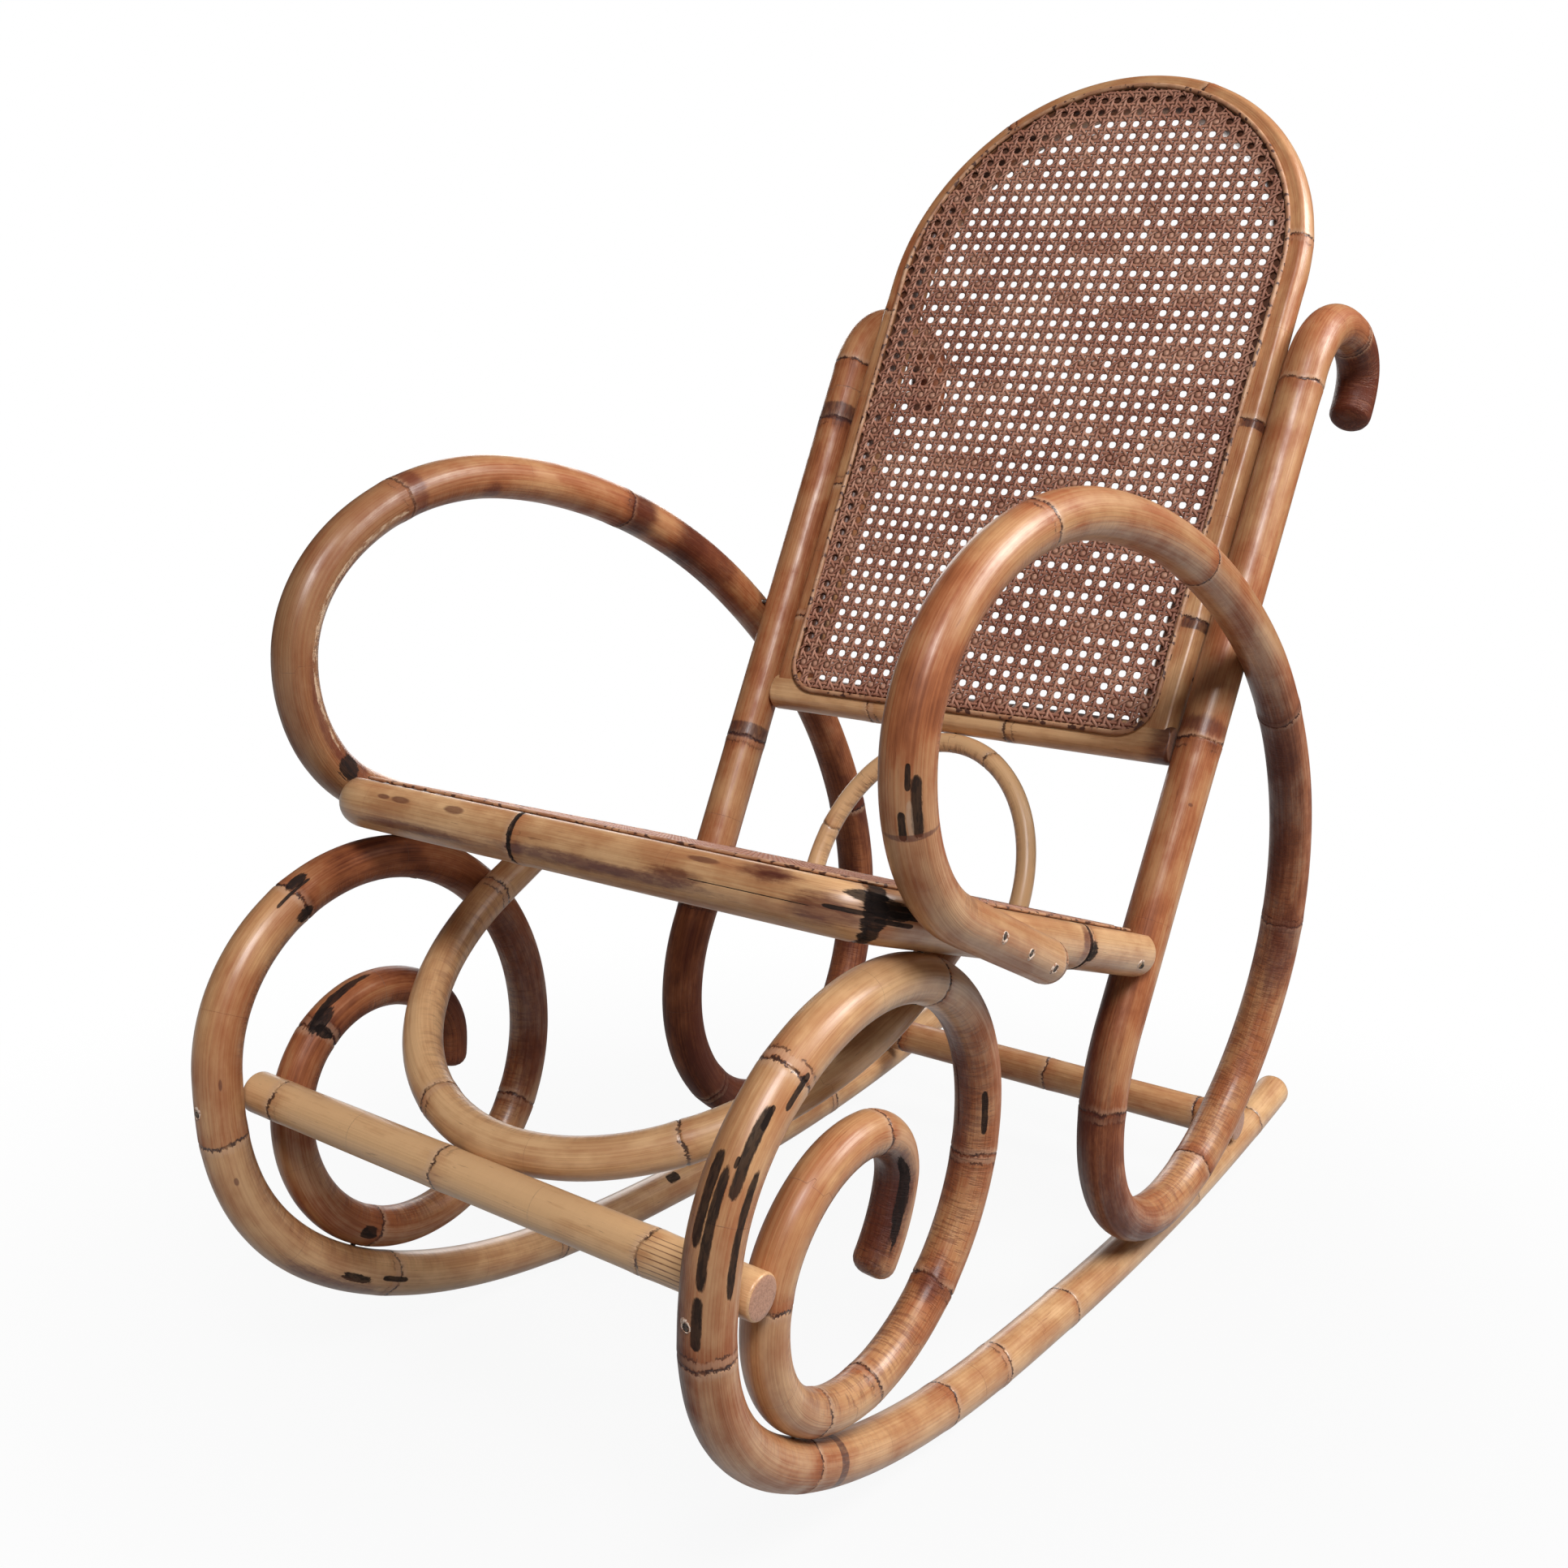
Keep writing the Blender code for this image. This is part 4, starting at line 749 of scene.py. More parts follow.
# %% Runner canes
RUNNER_RINGS = {
    "left": (
        0.09, 0.27, 0.47, 0.70, 0.897, 1.112, 1.293, 1.50, 1.697, 1.887, 2.081, 2.20,
    ),
    "right": (
        0.084, 0.249, 0.512, 0.633, 0.72, 0.918, 1.10, 1.269, 1.433, 1.626, 1.726, 1.821, 1.886, 2.019,
        2.16,
    ),
}
RUNNER_TONES = {
    "left": (
        (0, 0.26), (0.5, 0.24), (0.85, 0.06), (1.0, 0.30), (1.1, 0.34), (1.25, 0.40), (1.37, 0.78),
        (1.5, 0.54), (1.7, 0.48), (1.9, 0.42), (2.05, 0.54), (2.3, 0.68),
    ),
    # on the right runner the stops at 1.32 and 1.43 m make the scroll's top palest: partly its own pale tone,
    # partly a painted highlight
    "right": (
        (0, 0.14), (0.6, 0.18), (0.9, 0.30), (0.97, 0.36), (1.05, 0.38), (1.12, 0.36), (1.2, 0.30),
        (1.32, 0.0), (1.43, -0.02), (1.5, 0.34), (1.63, 0.34), (1.8, 0.22), (1.9, 0.12), (2.02, 0.24),
        (2.1, 0.20), (2.3, 0.46),
    ),
}
RUNNER_MARKS = {
    "left": (
        ("burn", 1.300, 112, 0.009, 0.0048), ("split", 1.292, 128, 0.016, 0.0012),
        ("burn", 1.289, 192, 0.008, 0.005), ("burn", 2.106, 104, 0.027, 0.0036),
        ("burn", 2.088, 122, 0.011, 0.0058), ("burn", 2.082, 150, 0.004, 0.007),
        ("burn", 1.898, 168, 0.008, 0.005), ("burn", 0.939, 168, 0.015, 0.0035),
        ("split", 0.90, 180, 0.013, 0.0020), ("stain", 0.955, 130, 0.05, 0.008),
        ("split", 0.545, 239, 0.0085, 0.0048), ("spot", 1.155, 150, 0.004, 0.0012),
        ("spot", 1.085, 150, 0.003, 0.0016), ("stain", 1.60, 210, 0.10, 0.014),
        ("stain", 2.20, 120, 0.05, 0.010),
    ),
    "right": (
        ("split", 1.222, 313, 0.025, 0.0032), ("split", 1.241, 318, 0.007, 0.0016),
        ("split", 1.194, 262, 0.024, 0.0034), ("split", 1.180, 286, 0.032, 0.0029),
        ("split", 1.179, 346, 0.036, 0.0026), ("split", 1.129, 284, 0.016, 0.0031),
        ("split", 1.215, 299, 0.003, 0.0010), ("split", 1.588, 44, 0.019, 0.0022),
        ("split", 1.575, 116, 0.030, 0.0007), ("split", 1.262, 346, 0.012, 0.0020),
        # painted shade: the smoke patches darken the inner side of the coil's end, round its real burn
        ("smoke", 2.235, 82, 0.072, 0.0125), ("smoke", 2.222, 46, 0.055, 0.0085),
        ("burn", 2.228, 38, 0.040, 0.0042), ("band", 0.885, 20, 0.0050, 0.030),
        # painted shade: smoke at 1.03 m darkens the scroll's front strand along its shadowed side
        ("smoke", 1.03, 224, 0.15, 0.0115), ("stain", 1.730, 66, 0.014, 0.008),
        ("stain", 1.55, 110, 0.10, 0.010),
    ),
}
for side, sign in SIDES:
    profile, radii = runner_path(side)
    path = [(sign * lean_x(z), y, z) for y, z in profile]
    finish = cane_finish("runner_cane_" + side, RUNNER_MARKS[side])
    roll_cane("runner_" + side, path, radii, (sign, 0, 0), RUNNER_RINGS[side], RUNNER_TONES[side], finish,
              ["runner_scroll_" + side], seed=11 + sign, rim=0.010, ends=(0.6, 0.0))

# %% [markdown]
# ## Posts, loops and arms
# The other long cane starts at the hook behind the back, comes down as the post, turns round the loop that
# stands on the runner, goes up again and forward as the arm, and ends in a tail that is screwed to the seat
# rail. The loops are given a darker tone than the arms, and the hooks' ends are darkest, as painted shade on
# their undersides.

# %% Post and arm lines
POST_D, ARM_TIP_D = 0.038, 0.032
LOOP_X, POST_SPLAY, POST_RECLINE, POST_BEND = 0.2125, math.radians(1.47), math.radians(25.0), 0.156
LOOP_FRONT, LOOP_BOTTOM, LOOP_REAR = (0.0217, 0.196), (0.1745, 0.05538), (0.3575, 0.258)
HOOK_TOP_Z, HOOK_BEND, HOOK_REACH, HOOK_DROP = 0.842, 0.081, 0.081, 0.043
HOOK_END_BEND, HOOK_END_TURN = 0.060, math.radians(40)
ARM_FULLNESS, ARM_BOW, ARM_TOP, ARM_FRONT = 1.83, 0.3, (-0.1955, 0.6735), (-0.4005, 0.53918)
TAIL_START, TAIL_BEND, TAIL_SLOPE, TAIL_LENGTH = (-0.32834, 0.43078), 0.1175, math.radians(22.7), 0.147
CROSS_X, CROSS_Y, CROSS_Z, TAIL_X = 0.2628, 0.1260, 0.5616, 0.25814
PAST_LOOP = 60


def post_arm_path():
    """The right post, loop and arm from the hook's end to the tail's, and the radius at each point."""
    up = [LOOP_FRONT] + arc(LOOP_FRONT, 0.0, POST_BEND, POST_RECLINE)
    hook_foot_z = HOOK_TOP_Z - HOOK_BEND * (1 - math.sin(POST_RECLINE))
    up += straight_run(up[-1], POST_RECLINE, (hook_foot_z - up[-1][1]) / math.cos(POST_RECLINE))
    up += arc(up[-1], POST_RECLINE, HOOK_BEND, math.pi / 2 - POST_RECLINE)
    hook_rear = (up[-1][0] + HOOK_REACH, up[-1][1] - HOOK_DROP)
    up += quarter_turn(up[-1], hook_rear, True)
    up += arc(hook_rear, math.pi, HOOK_END_BEND, HOOK_END_TURN)
    post = up[::-1] + quarter_turn(LOOP_FRONT, LOOP_BOTTOM, False)
    arm = quarter_turn(LOOP_BOTTOM, LOOP_REAR, True)
    taper_from = len(post) + len(arm) - 1
    arm += quarter_turn(LOOP_REAR, ARM_TOP, False, ARM_FULLNESS, 80)
    arm += quarter_turn(ARM_TOP, ARM_FRONT, True)
    arm += arc(ARM_FRONT, math.pi, TAIL_BEND, TAIL_SLOPE - math.pi / 2)
    arm += straight_run(TAIL_START, math.pi / 2 + TAIL_SLOPE, TAIL_LENGTH)
    radii = taper(post + arm, POST_D, ARM_TIP_D, taper_from)
    path = [(LOOP_X + (z - LOOP_BOTTOM[1]) * math.tan(POST_SPLAY), y, z) for y, z in post]
    foremost = min(range(len(arm)), key=lambda k: arm[k][0])
    for k, (y, z) in enumerate(arm):
        rise = min((z - LOOP_BOTTOM[1]) / (CROSS_Z - LOOP_BOTTOM[1]), 1.0)
        x = LOOP_X + (CROSS_X - LOOP_X) * rise * (1 + ARM_BOW - ARM_BOW * rise * rise)
        if k > PAST_LOOP and y < CROSS_Y:
            x = CROSS_X + (TAIL_X - CROSS_X) * min((CROSS_Y - y) / (CROSS_Y - ARM_FRONT[0]), 1.0)
        path.append((TAIL_X if k >= foremost else x, y, z))
    return path, radii


print("a post's line has", len(post_arm_path()[0]), "points")

# %% Post and arm canes
TAIL_RING = 0.0098
POST_RINGS = {
    "left": (
        0.10, 0.232, 0.297, 0.636, 0.80, 1.002, 1.25, 1.499, 1.74, 2.02, 2.288, 2.62,
    ),
    "right": (
        0.10, 0.247, 0.577, 0.889, 1.197, 1.463, 1.721, 1.983, 2.25,
    ),
}
# painted shade: the first stops of each side darken the hook's end, whose underside is in shadow
POST_TONES = {
    "left": (
        (0, 0.90), (0.08, 0.85), (0.12, 0.48), (0.5, 0.56), (0.7, 0.46), (0.8, 0.62), (0.95, 0.88),
        (1.4, 0.90), (1.7, 0.74), (1.9, 0.64), (2.0, 0.62), (2.1, 0.54), (2.25, 0.54), (2.5, 0.58),
        (2.6, 0.48), (2.8, 0.42),
    ),
    "right": (
        (0, 1.08), (0.085, 1.05), (0.11, 0.60), (0.14, 0.58), (0.3, 0.56), (0.6, 0.58), (0.7, 0.62),
        (0.8, 0.68), (1.0, 0.70), (1.12, 0.44), (1.25, 0.46), (1.4, 0.56), (1.6, 0.60), (1.74, 0.62),
        (1.85, 0.44), (2.1, 0.46), (2.3, 0.48), (2.42, 0.66), (2.5, 0.46), (2.65, 0.36), (2.8, 0.34),
    ),
}
POST_MARKS = {
    "left": (
        # painted shade: dull darkens the left arm's front, which gets less light
        ("dull", 2.40, 200, 0.17, 0.050), ("stain", 2.197, 140, 0.010, 0.008),
        ("smoke", 2.004, 176, 0.018, 0.030), ("smoke", 1.925, 176, 0.024, 0.030),
        ("stain", 1.88, 176, 0.03, 0.022), ("band", 0.630, 239, 0.008, 0.030),
        ("stain", 2.278, 204, 0.008, 0.030), ("stain", 2.545, 150, 0.02, 0.010),
        ("stain", 2.50, 172, 0.05, 0.004), ("peel", 2.41, 159, 0.11, 0.0030),
        ("burn", 2.542, 172, 0.011, 0.009), ("band", 0.290, 239, 0.010, 0.030),
        ("stain", 0.95, 150, 0.14, 0.020),
    ),
    "right": (
        ("split", 2.456, 60, 0.007, 0.0016), ("split", 2.482, 74, 0.008, 0.0022),
        ("split", 2.472, 42, 0.017, 0.0032), ("bare", 2.478, 57, 0.010, 0.0018),
        ("spot", 2.4885, 58, 0.0018, 0.016), ("spot", 0.633, 48, 0.0016, 0.0022),
        ("stain", 1.02, 40, 0.12, 0.014), ("stain", 0.565, 72, 0.008, 0.022),
        ("stain", 1.44, 300, 0.05, 0.014), ("burn", 0.764, 115, 0.005, 0.004),
        # painted shade: both smoke stripes darken shadowed sides, low on the post and up the loop's rear
        # strand
        ("smoke", 0.90, 134, 0.16, 0.016), ("smoke", 1.65, 244, 0.18, 0.017),
    ),
}
for side, sign in SIDES:
    right_path, radii = post_arm_path()
    path = [(sign * x, y, z) for x, y, z in right_path]
    finish = cane_finish("post_cane_" + side, POST_MARKS[side])
    tail_ring = even_path(path)[0][-1] - TAIL_RING
    rings = POST_RINGS[side] + (tail_ring,)
    roll_cane("post_arm_cane_" + side, path, radii, (sign, 0, 0), rings, POST_TONES[side], finish,
              ["post_arm_" + side], seed=21 + sign, rim=0.009, ends=(0.0, 0.5))

# %% [markdown]
# ## Seat frame
# The seat is one cane bent to a U, lying in a plane that tilts back, with a straight rail between the posts
# behind. Its crown is cut to a flat land all round, where the woven cane lies.

# %% Seat canes
SEAT_D, REAR_RAIL_D, LAND_DEPTH = 0.038, 0.034, 0.003
SEAT_FRONT, SEAT_TILT = Vector((0, -0.3805, 0.4385)), math.radians(15.2)
SEAT_HALF_WIDTH, SEAT_CORNER, SEAT_DEPTH = 0.2225, 0.030, 0.45943
REAR_RAIL_HALF, REAR_RISE = 0.203, 0.002
SEAT_PLACE = Matrix.Translation(SEAT_FRONT) @ Matrix.Rotation(-SEAT_TILT, 4, "X")
SEAT_UP = SEAT_PLACE.to_3x3() @ Vector((0, 0, 1))


def seat_outline(half_width, front, rear, corner, steps=16):
    """The seat's outline in its own plane, from the rear left corner round the front."""
    points = [(-half_width, y) for y in np.linspace(rear, front + corner, 30)]
    for sign in (-1, 1):
        for step in range(steps + 1):
            angle = math.pi / 2 * (step / steps if sign < 0 else 1 - step / steps)
            x = half_width - corner + corner * math.cos(angle)
            points.append((sign * x, front + corner - corner * math.sin(angle)))
    return points + [(half_width, y) for y in np.linspace(front + corner, rear, 30)]


SEAT_RINGS = (0.12, 0.32, 0.606, 0.867, 1.163)
SEAT_TONES = ((0, 0.4), (0.4, 0.16), (0.6, 0.16), (0.8, 0.26), (1.0, 0.22), (1.2, 0.14), (1.3, 0.14))
SEAT_MARKS = (
    ("spot", 0.55, 64, 0.009, 0.0030), ("spot", 0.498, 68, 0.009, 0.0024),
    ("spot", 0.481, 68, 0.006, 0.0018), ("stain", 0.515, 126, 0.052, 0.0040),
    ("smoke", 0.612, 116, 0.006, 0.0045), ("stain", 0.655, 116, 0.055, 0.0050),
    ("stain", 0.72, 116, 0.050, 0.0040), ("stain", 0.747, 98, 0.020, 0.0045),
    ("spot", 0.764, 56, 0.012, 0.0022), ("stain", 0.811, 54, 0.020, 0.0060),
    ("smoke", 0.816, 56, 0.010, 0.0024), ("stain", 0.85, 100, 0.018, 0.0090),
    ("burn", 0.870, 84, 0.0050, 0.024), ("burn", 0.876, 78, 0.012, 0.006),
    ("burn", 0.866, 60, 0.009, 0.004), ("split", 0.887, 84, 0.013, 0.0018),
    ("split", 0.860, 92, 0.010, 0.0014), ("split", 0.880, 100, 0.010, 0.0014),
    ("burn", 0.606, 84, 0.0022, 0.024), ("burn", 1.163, 84, 0.0030, 0.022),
    ("burn", 1.169, 98, 0.0085, 0.008), ("stain", 1.156, 80, 0.006, 0.014),
    ("spot", 0.845, 118, 0.008, 0.0009), ("split", 0.80, 98, 0.045, 0.0003),
)
outline = seat_outline(SEAT_HALF_WIDTH, 0.0, SEAT_DEPTH - POST_D / 2, SEAT_CORNER)
path = [SEAT_PLACE @ Vector((x, y, 0)) for x, y in outline]
seat_finish = cane_finish("seat_cane", SEAT_MARKS)
roll_cane("seat_frame_cane", path, [SEAT_D / 2] * 2, SEAT_UP, SEAT_RINGS, SEAT_TONES, seat_finish,
          ["seat_frame"], flat=(SEAT_D / 2 - LAND_DEPTH, -1, 0.02, 0.02), seed=31)
across = np.linspace(-REAR_RAIL_HALF, REAR_RAIL_HALF, 40)
path = [SEAT_PLACE @ Vector((x, SEAT_DEPTH, REAR_RISE)) for x in across]
roll_cane("seat_rear_rail_cane", path, [REAR_RAIL_D / 2] * 2, SEAT_UP, (0.11, 0.31), ((0, 0.6), (0.4, 0.6)),
          cane_finish("rear_rail_cane"), ["seat_rear_rail"],
          flat=(SEAT_D / 2 - LAND_DEPTH - REAR_RISE, 1, 0.01, 0.01), seed=33)

# %% [markdown]
# ## Back frame
# The back is one cane bent to an arch between the reclined posts, closed below by a straight rail. Like the
# seat it has a flat land on its front for the woven cane.

# %% Back canes
BACK_D, BACK_STRAIGHT, BACK_RISE, BACK_CORNER = 0.034, 0.442, 0.203, 0.030
BACK_FOOT = Vector((0, 0.1378, 0.4795))
STILE_FOOT, STILE_TOP = 0.18299, 0.19327
BACK_PLACE = Matrix.Translation(BACK_FOOT) @ Matrix.Rotation(math.pi / 2 - POST_RECLINE, 4, "X")
BACK_FRONT = BACK_PLACE.to_3x3() @ Vector((0, 0, 1))


def stile_x(height):
    """How far from the middle a stile's axis stands at a height."""
    return STILE_FOOT + (STILE_TOP - STILE_FOOT) * height / BACK_STRAIGHT


def arch_outline(start, inset, steps=80):
    """The back frame's axis in its own plane from the lower left, over the arch, to the lower right."""
    half = stile_x(BACK_STRAIGHT) - inset
    heights = np.linspace(start, BACK_STRAIGHT, 40)[:-1]
    points = [(-stile_x(h) + inset, h) for h in heights]
    for step in range(steps + 1):
        angle = math.pi * (1 - step / steps)
        points.append((half * math.cos(angle), BACK_STRAIGHT + (BACK_RISE - inset) * math.sin(angle)))
    return points + [(stile_x(h) - inset, h) for h in heights[::-1]]


STILE_PRESS, PRESS_FROM, PRESS_TO = 0.0015, 0.44, 0.30
FLAT_DEEPER = 0.0002
BACK_RINGS = (0.075, 0.215, 0.405, 0.625, 0.825, 1.030, 1.209, 1.396)
# painted shade: the first three stops give the arch's left side a darker tone, as that side is in shade
BACK_TONES = ((0, 0.50), (0.5, 0.56), (0.75, 0.48), (0.9, 0.34), (1.0, 0.44), (1.15, 0.48), (1.3, 0.30),
              (1.5, 0.20))
BACK_MARKS = (("band", 1.214, 300, 0.004, 0.018), ("band", 1.401, 312, 0.005, 0.018))


def pressed(x, height):
    """A stile's place, pressed out against its post up to the height where the arch begins."""
    share = min(max((PRESS_FROM - height) / (PRESS_FROM - PRESS_TO), 0.0), 1.0)
    return x + math.copysign(STILE_PRESS * share * share * (3 - 2 * share), x)


path = [BACK_PLACE @ Vector((pressed(x, y), y, 0)) for x, y in arch_outline(0.0, 0.0)]
roll_cane("back_arch_cane", path, [BACK_D / 2 + STILE_PRESS] * 2, BACK_FRONT, BACK_RINGS, BACK_TONES,
          cane_finish("back_cane", BACK_MARKS), ["back_arch_frame"],
          flat=(BACK_D / 2 - LAND_DEPTH - FLAT_DEEPER, 1, 0.035, 0.035), seed=41, rim=0.002)
RAIL_HALF = 0.203
RAIL_TONES = ((0, 0.16), (0.2, 0.12), (0.32, 0.18), (0.4, 0.44))
RAIL_MARKS = (
    ("smoke", 0.404, 84, 0.016, 0.030), ("stain", 0.372, 120, 0.02, 0.008), ("band", 0.257, 96, 0.003, 0.010),
)
path = [BACK_PLACE @ Vector((x, 0, 0)) for x in np.linspace(-RAIL_HALF, RAIL_HALF, 40)]
roll_cane("back_bottom_cane", path, [BACK_D / 2] * 2, BACK_FRONT, (0.112, 0.255), RAIL_TONES,
          cane_finish("bottom_rail_cane", RAIL_MARKS), ["back_bottom_rail"],
          flat=(BACK_D / 2 - LAND_DEPTH, -1, 0.048, 0.048), seed=43)

# %% [markdown]
# ## Stretchers, leg hoop and thin arch
# Two straight canes tie the runners together. A thinner cane is bent to a hoop from rail to rail, low in
# the middle where it rests on the front stretcher, and the thinnest one is an arch under the back.

# %% Short canes
FRONT_STRETCHER_D, REAR_STRETCHER_D, HOOP_D, THIN_D = 0.0295, 0.0335, 0.0285, 0.0174
FRONT_STRETCHER = (Vector((-0.21406, -0.47003, 0.23952)), Vector((0.22643, -0.46939, 0.23020)))
REAR_STRETCHER_HALF, REAR_STRETCHER_Y, REAR_STRETCHER_Z = 0.21599, 0.3715, 0.07669
HOOP_HALF, HOOP_END_X, HOOP_END_Y, HOOP_END_Z = 0.1892, 0.1891, -0.2, 0.3864
HOOP_TURN_Y, HOOP_LOW_Y, HOOP_LOW_Z = -0.254, -0.4446, 0.2501
THIN_HALF, THIN_FOOT, THIN_TOP, THIN_PEG = 0.104, -0.1587, -0.0260, 0.014

STRETCHER_MARKS = [("stain", 0.390, turn, 0.034, 0.0004) for turn in range(20, 130, 13)]
path = [FRONT_STRETCHER[0].lerp(FRONT_STRETCHER[1], k) for k in np.linspace(0, 1, 40)]
roll_cane("front_stretcher_cane", path, [FRONT_STRETCHER_D / 2] * 2, (0, 0, 1), (0.03, 0.188, 0.36),
          ((0, 0.0), (0.2, -0.04), (0.44, 0.0)), cane_finish("front_stretcher_cane", STRETCHER_MARKS),
          ["front_stretcher"], seed=51, rim=0.0022)
across = np.linspace(-REAR_STRETCHER_HALF, REAR_STRETCHER_HALF, 40)
path = [(x, REAR_STRETCHER_Y, REAR_STRETCHER_Z) for x in across]
roll_cane("rear_stretcher_cane", path, [REAR_STRETCHER_D / 2] * 2, (0, 0, 1), (0.05, 0.224, 0.39),
          ((0, 0.4), (0.2, 0.38), (0.44, 0.30)), cane_finish("rear_stretcher_cane"), ["rear_stretcher"],
          seed=53, rim=0.0025)


def hoop_path():
    """The hoop from its left end over its low middle to its right end."""
    slope = (HOOP_END_Z - HOOP_LOW_Z) / (HOOP_END_Y - HOOP_LOW_Y)
    flat = [(-HOOP_END_X, y) for y in np.linspace(HOOP_END_Y, HOOP_TURN_Y, 12)[:-1]]
    for angle in np.linspace(math.pi, 0, 90):
        flat.append((HOOP_HALF * math.cos(angle), HOOP_TURN_Y + (HOOP_LOW_Y - HOOP_TURN_Y) * math.sin(angle)))
    flat += [(HOOP_END_X, y) for y in np.linspace(HOOP_TURN_Y, HOOP_END_Y, 12)[1:]]
    return [(x, y, HOOP_LOW_Z + slope * (y - HOOP_LOW_Y)) for x, y in flat]


roll_cane("leg_hoop_cane", hoop_path(), [HOOP_D / 2] * 2, (0, 0, 1), (0.069, 0.307, 0.51, 0.70),
          ((0, 0.36), (0.3, 0.08), (0.5, 0.0), (0.8, 0.30)), cane_finish("leg_hoop_cane"), ["leg_hoop"],
          sides=32, seed=55)
flat = [(-THIN_HALF, THIN_FOOT - THIN_PEG)]
for angle in np.linspace(math.pi, 0, 80):
    flat.append((THIN_HALF * math.cos(angle), THIN_FOOT + (THIN_TOP - THIN_FOOT) * math.sin(angle)))
flat.append((THIN_HALF, THIN_FOOT - THIN_PEG))
path = [BACK_PLACE @ Vector((x, y, 0)) for x, y in flat]
roll_cane("thin_arch_cane", path, [THIN_D / 2] * 2, BACK_FRONT, (0.05, 0.160, 0.243),
          ((0, 0.0), (0.4, -0.08)), cane_finish("thin_arch_cane"), ["thin_arch"],
          sides=24, seed=57)

# %% [markdown]
# ## Woven cane
# The sheet is woven six ways: upright and level strands run in pairs, and two sets of slanting strands cut
# the corners of the square openings to octagons. A picture of holes on a flat sheet would show no depth, so
# every strand is a flat ribbon that goes over and under its neighbours. A curve sweeps it: the path's waves
# are drawn too tall, swept with a round section, and then the whole is pressed flat, which flattens the
# section as well.

# %% Woven finish
CANE_LIGHT, CANE_MIDDLE = (0.50, 0.265, 0.175, 1), (0.37, 0.165, 0.105, 1)
CANE_DARK = (0.230, 0.083, 0.052, 1)
WEAVE_STOPS = ((0.0, CANE_LIGHT), (0.5, CANE_MIDDLE), (1.0, CANE_DARK))


def object_noise(tree, scale, detail=3.0, roughness=0.5):
    """Noise that is fixed to the piece itself."""
    place = add(tree, "ShaderNodeTexCoord").outputs["Object"]
    noise = {"Vector": place, "Scale": scale, "Detail": detail, "Roughness": roughness}
    return add(tree, "ShaderNodeTexNoise", noise).outputs["Fac"]


def weave_finish(name):
    made, tree, shader = new_material(name)
    cloud = object_noise(tree, 16.0, 4.0, 0.6)
    fine = object_noise(tree, 700.0, 2.0)
    shade = calc(tree, "MULTIPLY_ADD", soft_step(tree, cloud, 0.3, 0.7), 0.45, reading(tree, "tone")["Fac"])
    shade = shifted(tree, shade, fine, 0.35)
    rough = calc(tree, "MULTIPLY_ADD", fine, 0.25, 0.36)
    dress(tree, shader, tone_ramp(tree, shade, WEAVE_STOPS), rough, fine, strength=0.4, depth=0.0003)
    return made


print("the weave runs over", len(WEAVE_STOPS), "colours")

# %% Strands
PITCH = 0.0134
PAIR_HALF, STRAND_W, SLANT_W, STRAND_T = 0.0019, 0.0034, 0.0029, 0.0006
WAVE = 0.00042
# Where a slanting strand passes in one opening's width, and how high it is there in waves
SLANT_WAVE = ((0.25, 0.6), (0.5, 1.6), (0.75, 0.6), (1.0, -1.6))


def crossings(numbers):
    """Where a strand meets the pairs with these numbers, and which strand of the pair it is."""
    return [((n + 0.5) * PITCH + half * PAIR_HALF, half) for n in numbers for half in (-1, 1)]


def strand_runs(inside, low_x, high_x, low_y, high_y, sag=0.0):
    """Every strand of a sheet as (points, width), clipped to the sheet's edge by inside. A sheet that sags
    has its level strands lower on the right the higher they are."""
    runs = []

    def clip(points, width):
        points = [(x, y - sag * x * y / high_y, z) for x, y, z in points]
        kept = [p for p in points if inside(p[0], p[1])]
        if len(kept) > 2:
            runs.append((kept, width))

    columns = np.arange(math.floor(low_x / PITCH), math.ceil(high_x / PITCH) + 1)
    lines = np.arange(math.floor(low_y / PITCH), math.ceil(high_y / PITCH) + 1)
    for half in (-1, 1):
        for i in columns:
            x = (i + 0.5) * PITCH + half * PAIR_HALF
            clip([(x, y, half * step * WAVE) for y, step in crossings(lines)], STRAND_W)
        for j in lines:
            y = (j + 0.5) * PITCH + half * PAIR_HALF
            clip([(x, y, -half * step * WAVE) for x, step in crossings(columns)], STRAND_W)
    for lean in (1, -1):
        for k in range(int(columns[0] - lines[-1]) - 2, int(columns[-1] + lines[-1]) + 3):
            points = []
            for i in columns:
                for share, over in SLANT_WAVE:
                    x = (i + share) * PITCH
                    points.append((x, lean * (x - (k + 0.5) * PITCH), lean * over * WAVE))
            clip(points, SLANT_W)
    return runs


print("an opening every", PITCH, "m")

# %% Sweeping a sheet
PRESS = STRAND_W / STRAND_T
LUMP_R, LUMP_FLAT, LUMP_SUNK = PITCH * 0.34, 0.09, 0.6


def round_curve(name, thick, resolution, capped):
    """An empty curve with a round section."""
    curve = bpy.data.curves.new(name, "CURVE")
    curve.dimensions = "3D"
    curve.bevel_depth = thick / 2
    curve.bevel_resolution = resolution
    curve.use_fill_caps = capped
    return curve


def swept(curve):
    """The mesh that a curve with a round section sweeps."""
    sweep = bpy.data.objects.new(curve.name, curve)
    bpy.context.scene.collection.objects.link(sweep)
    found = sweep.evaluated_get(bpy.context.evaluated_depsgraph_get())
    mesh = bpy.data.meshes.new_from_object(found)
    bpy.data.objects.remove(sweep)
    mesh.name = curve.name
    return mesh


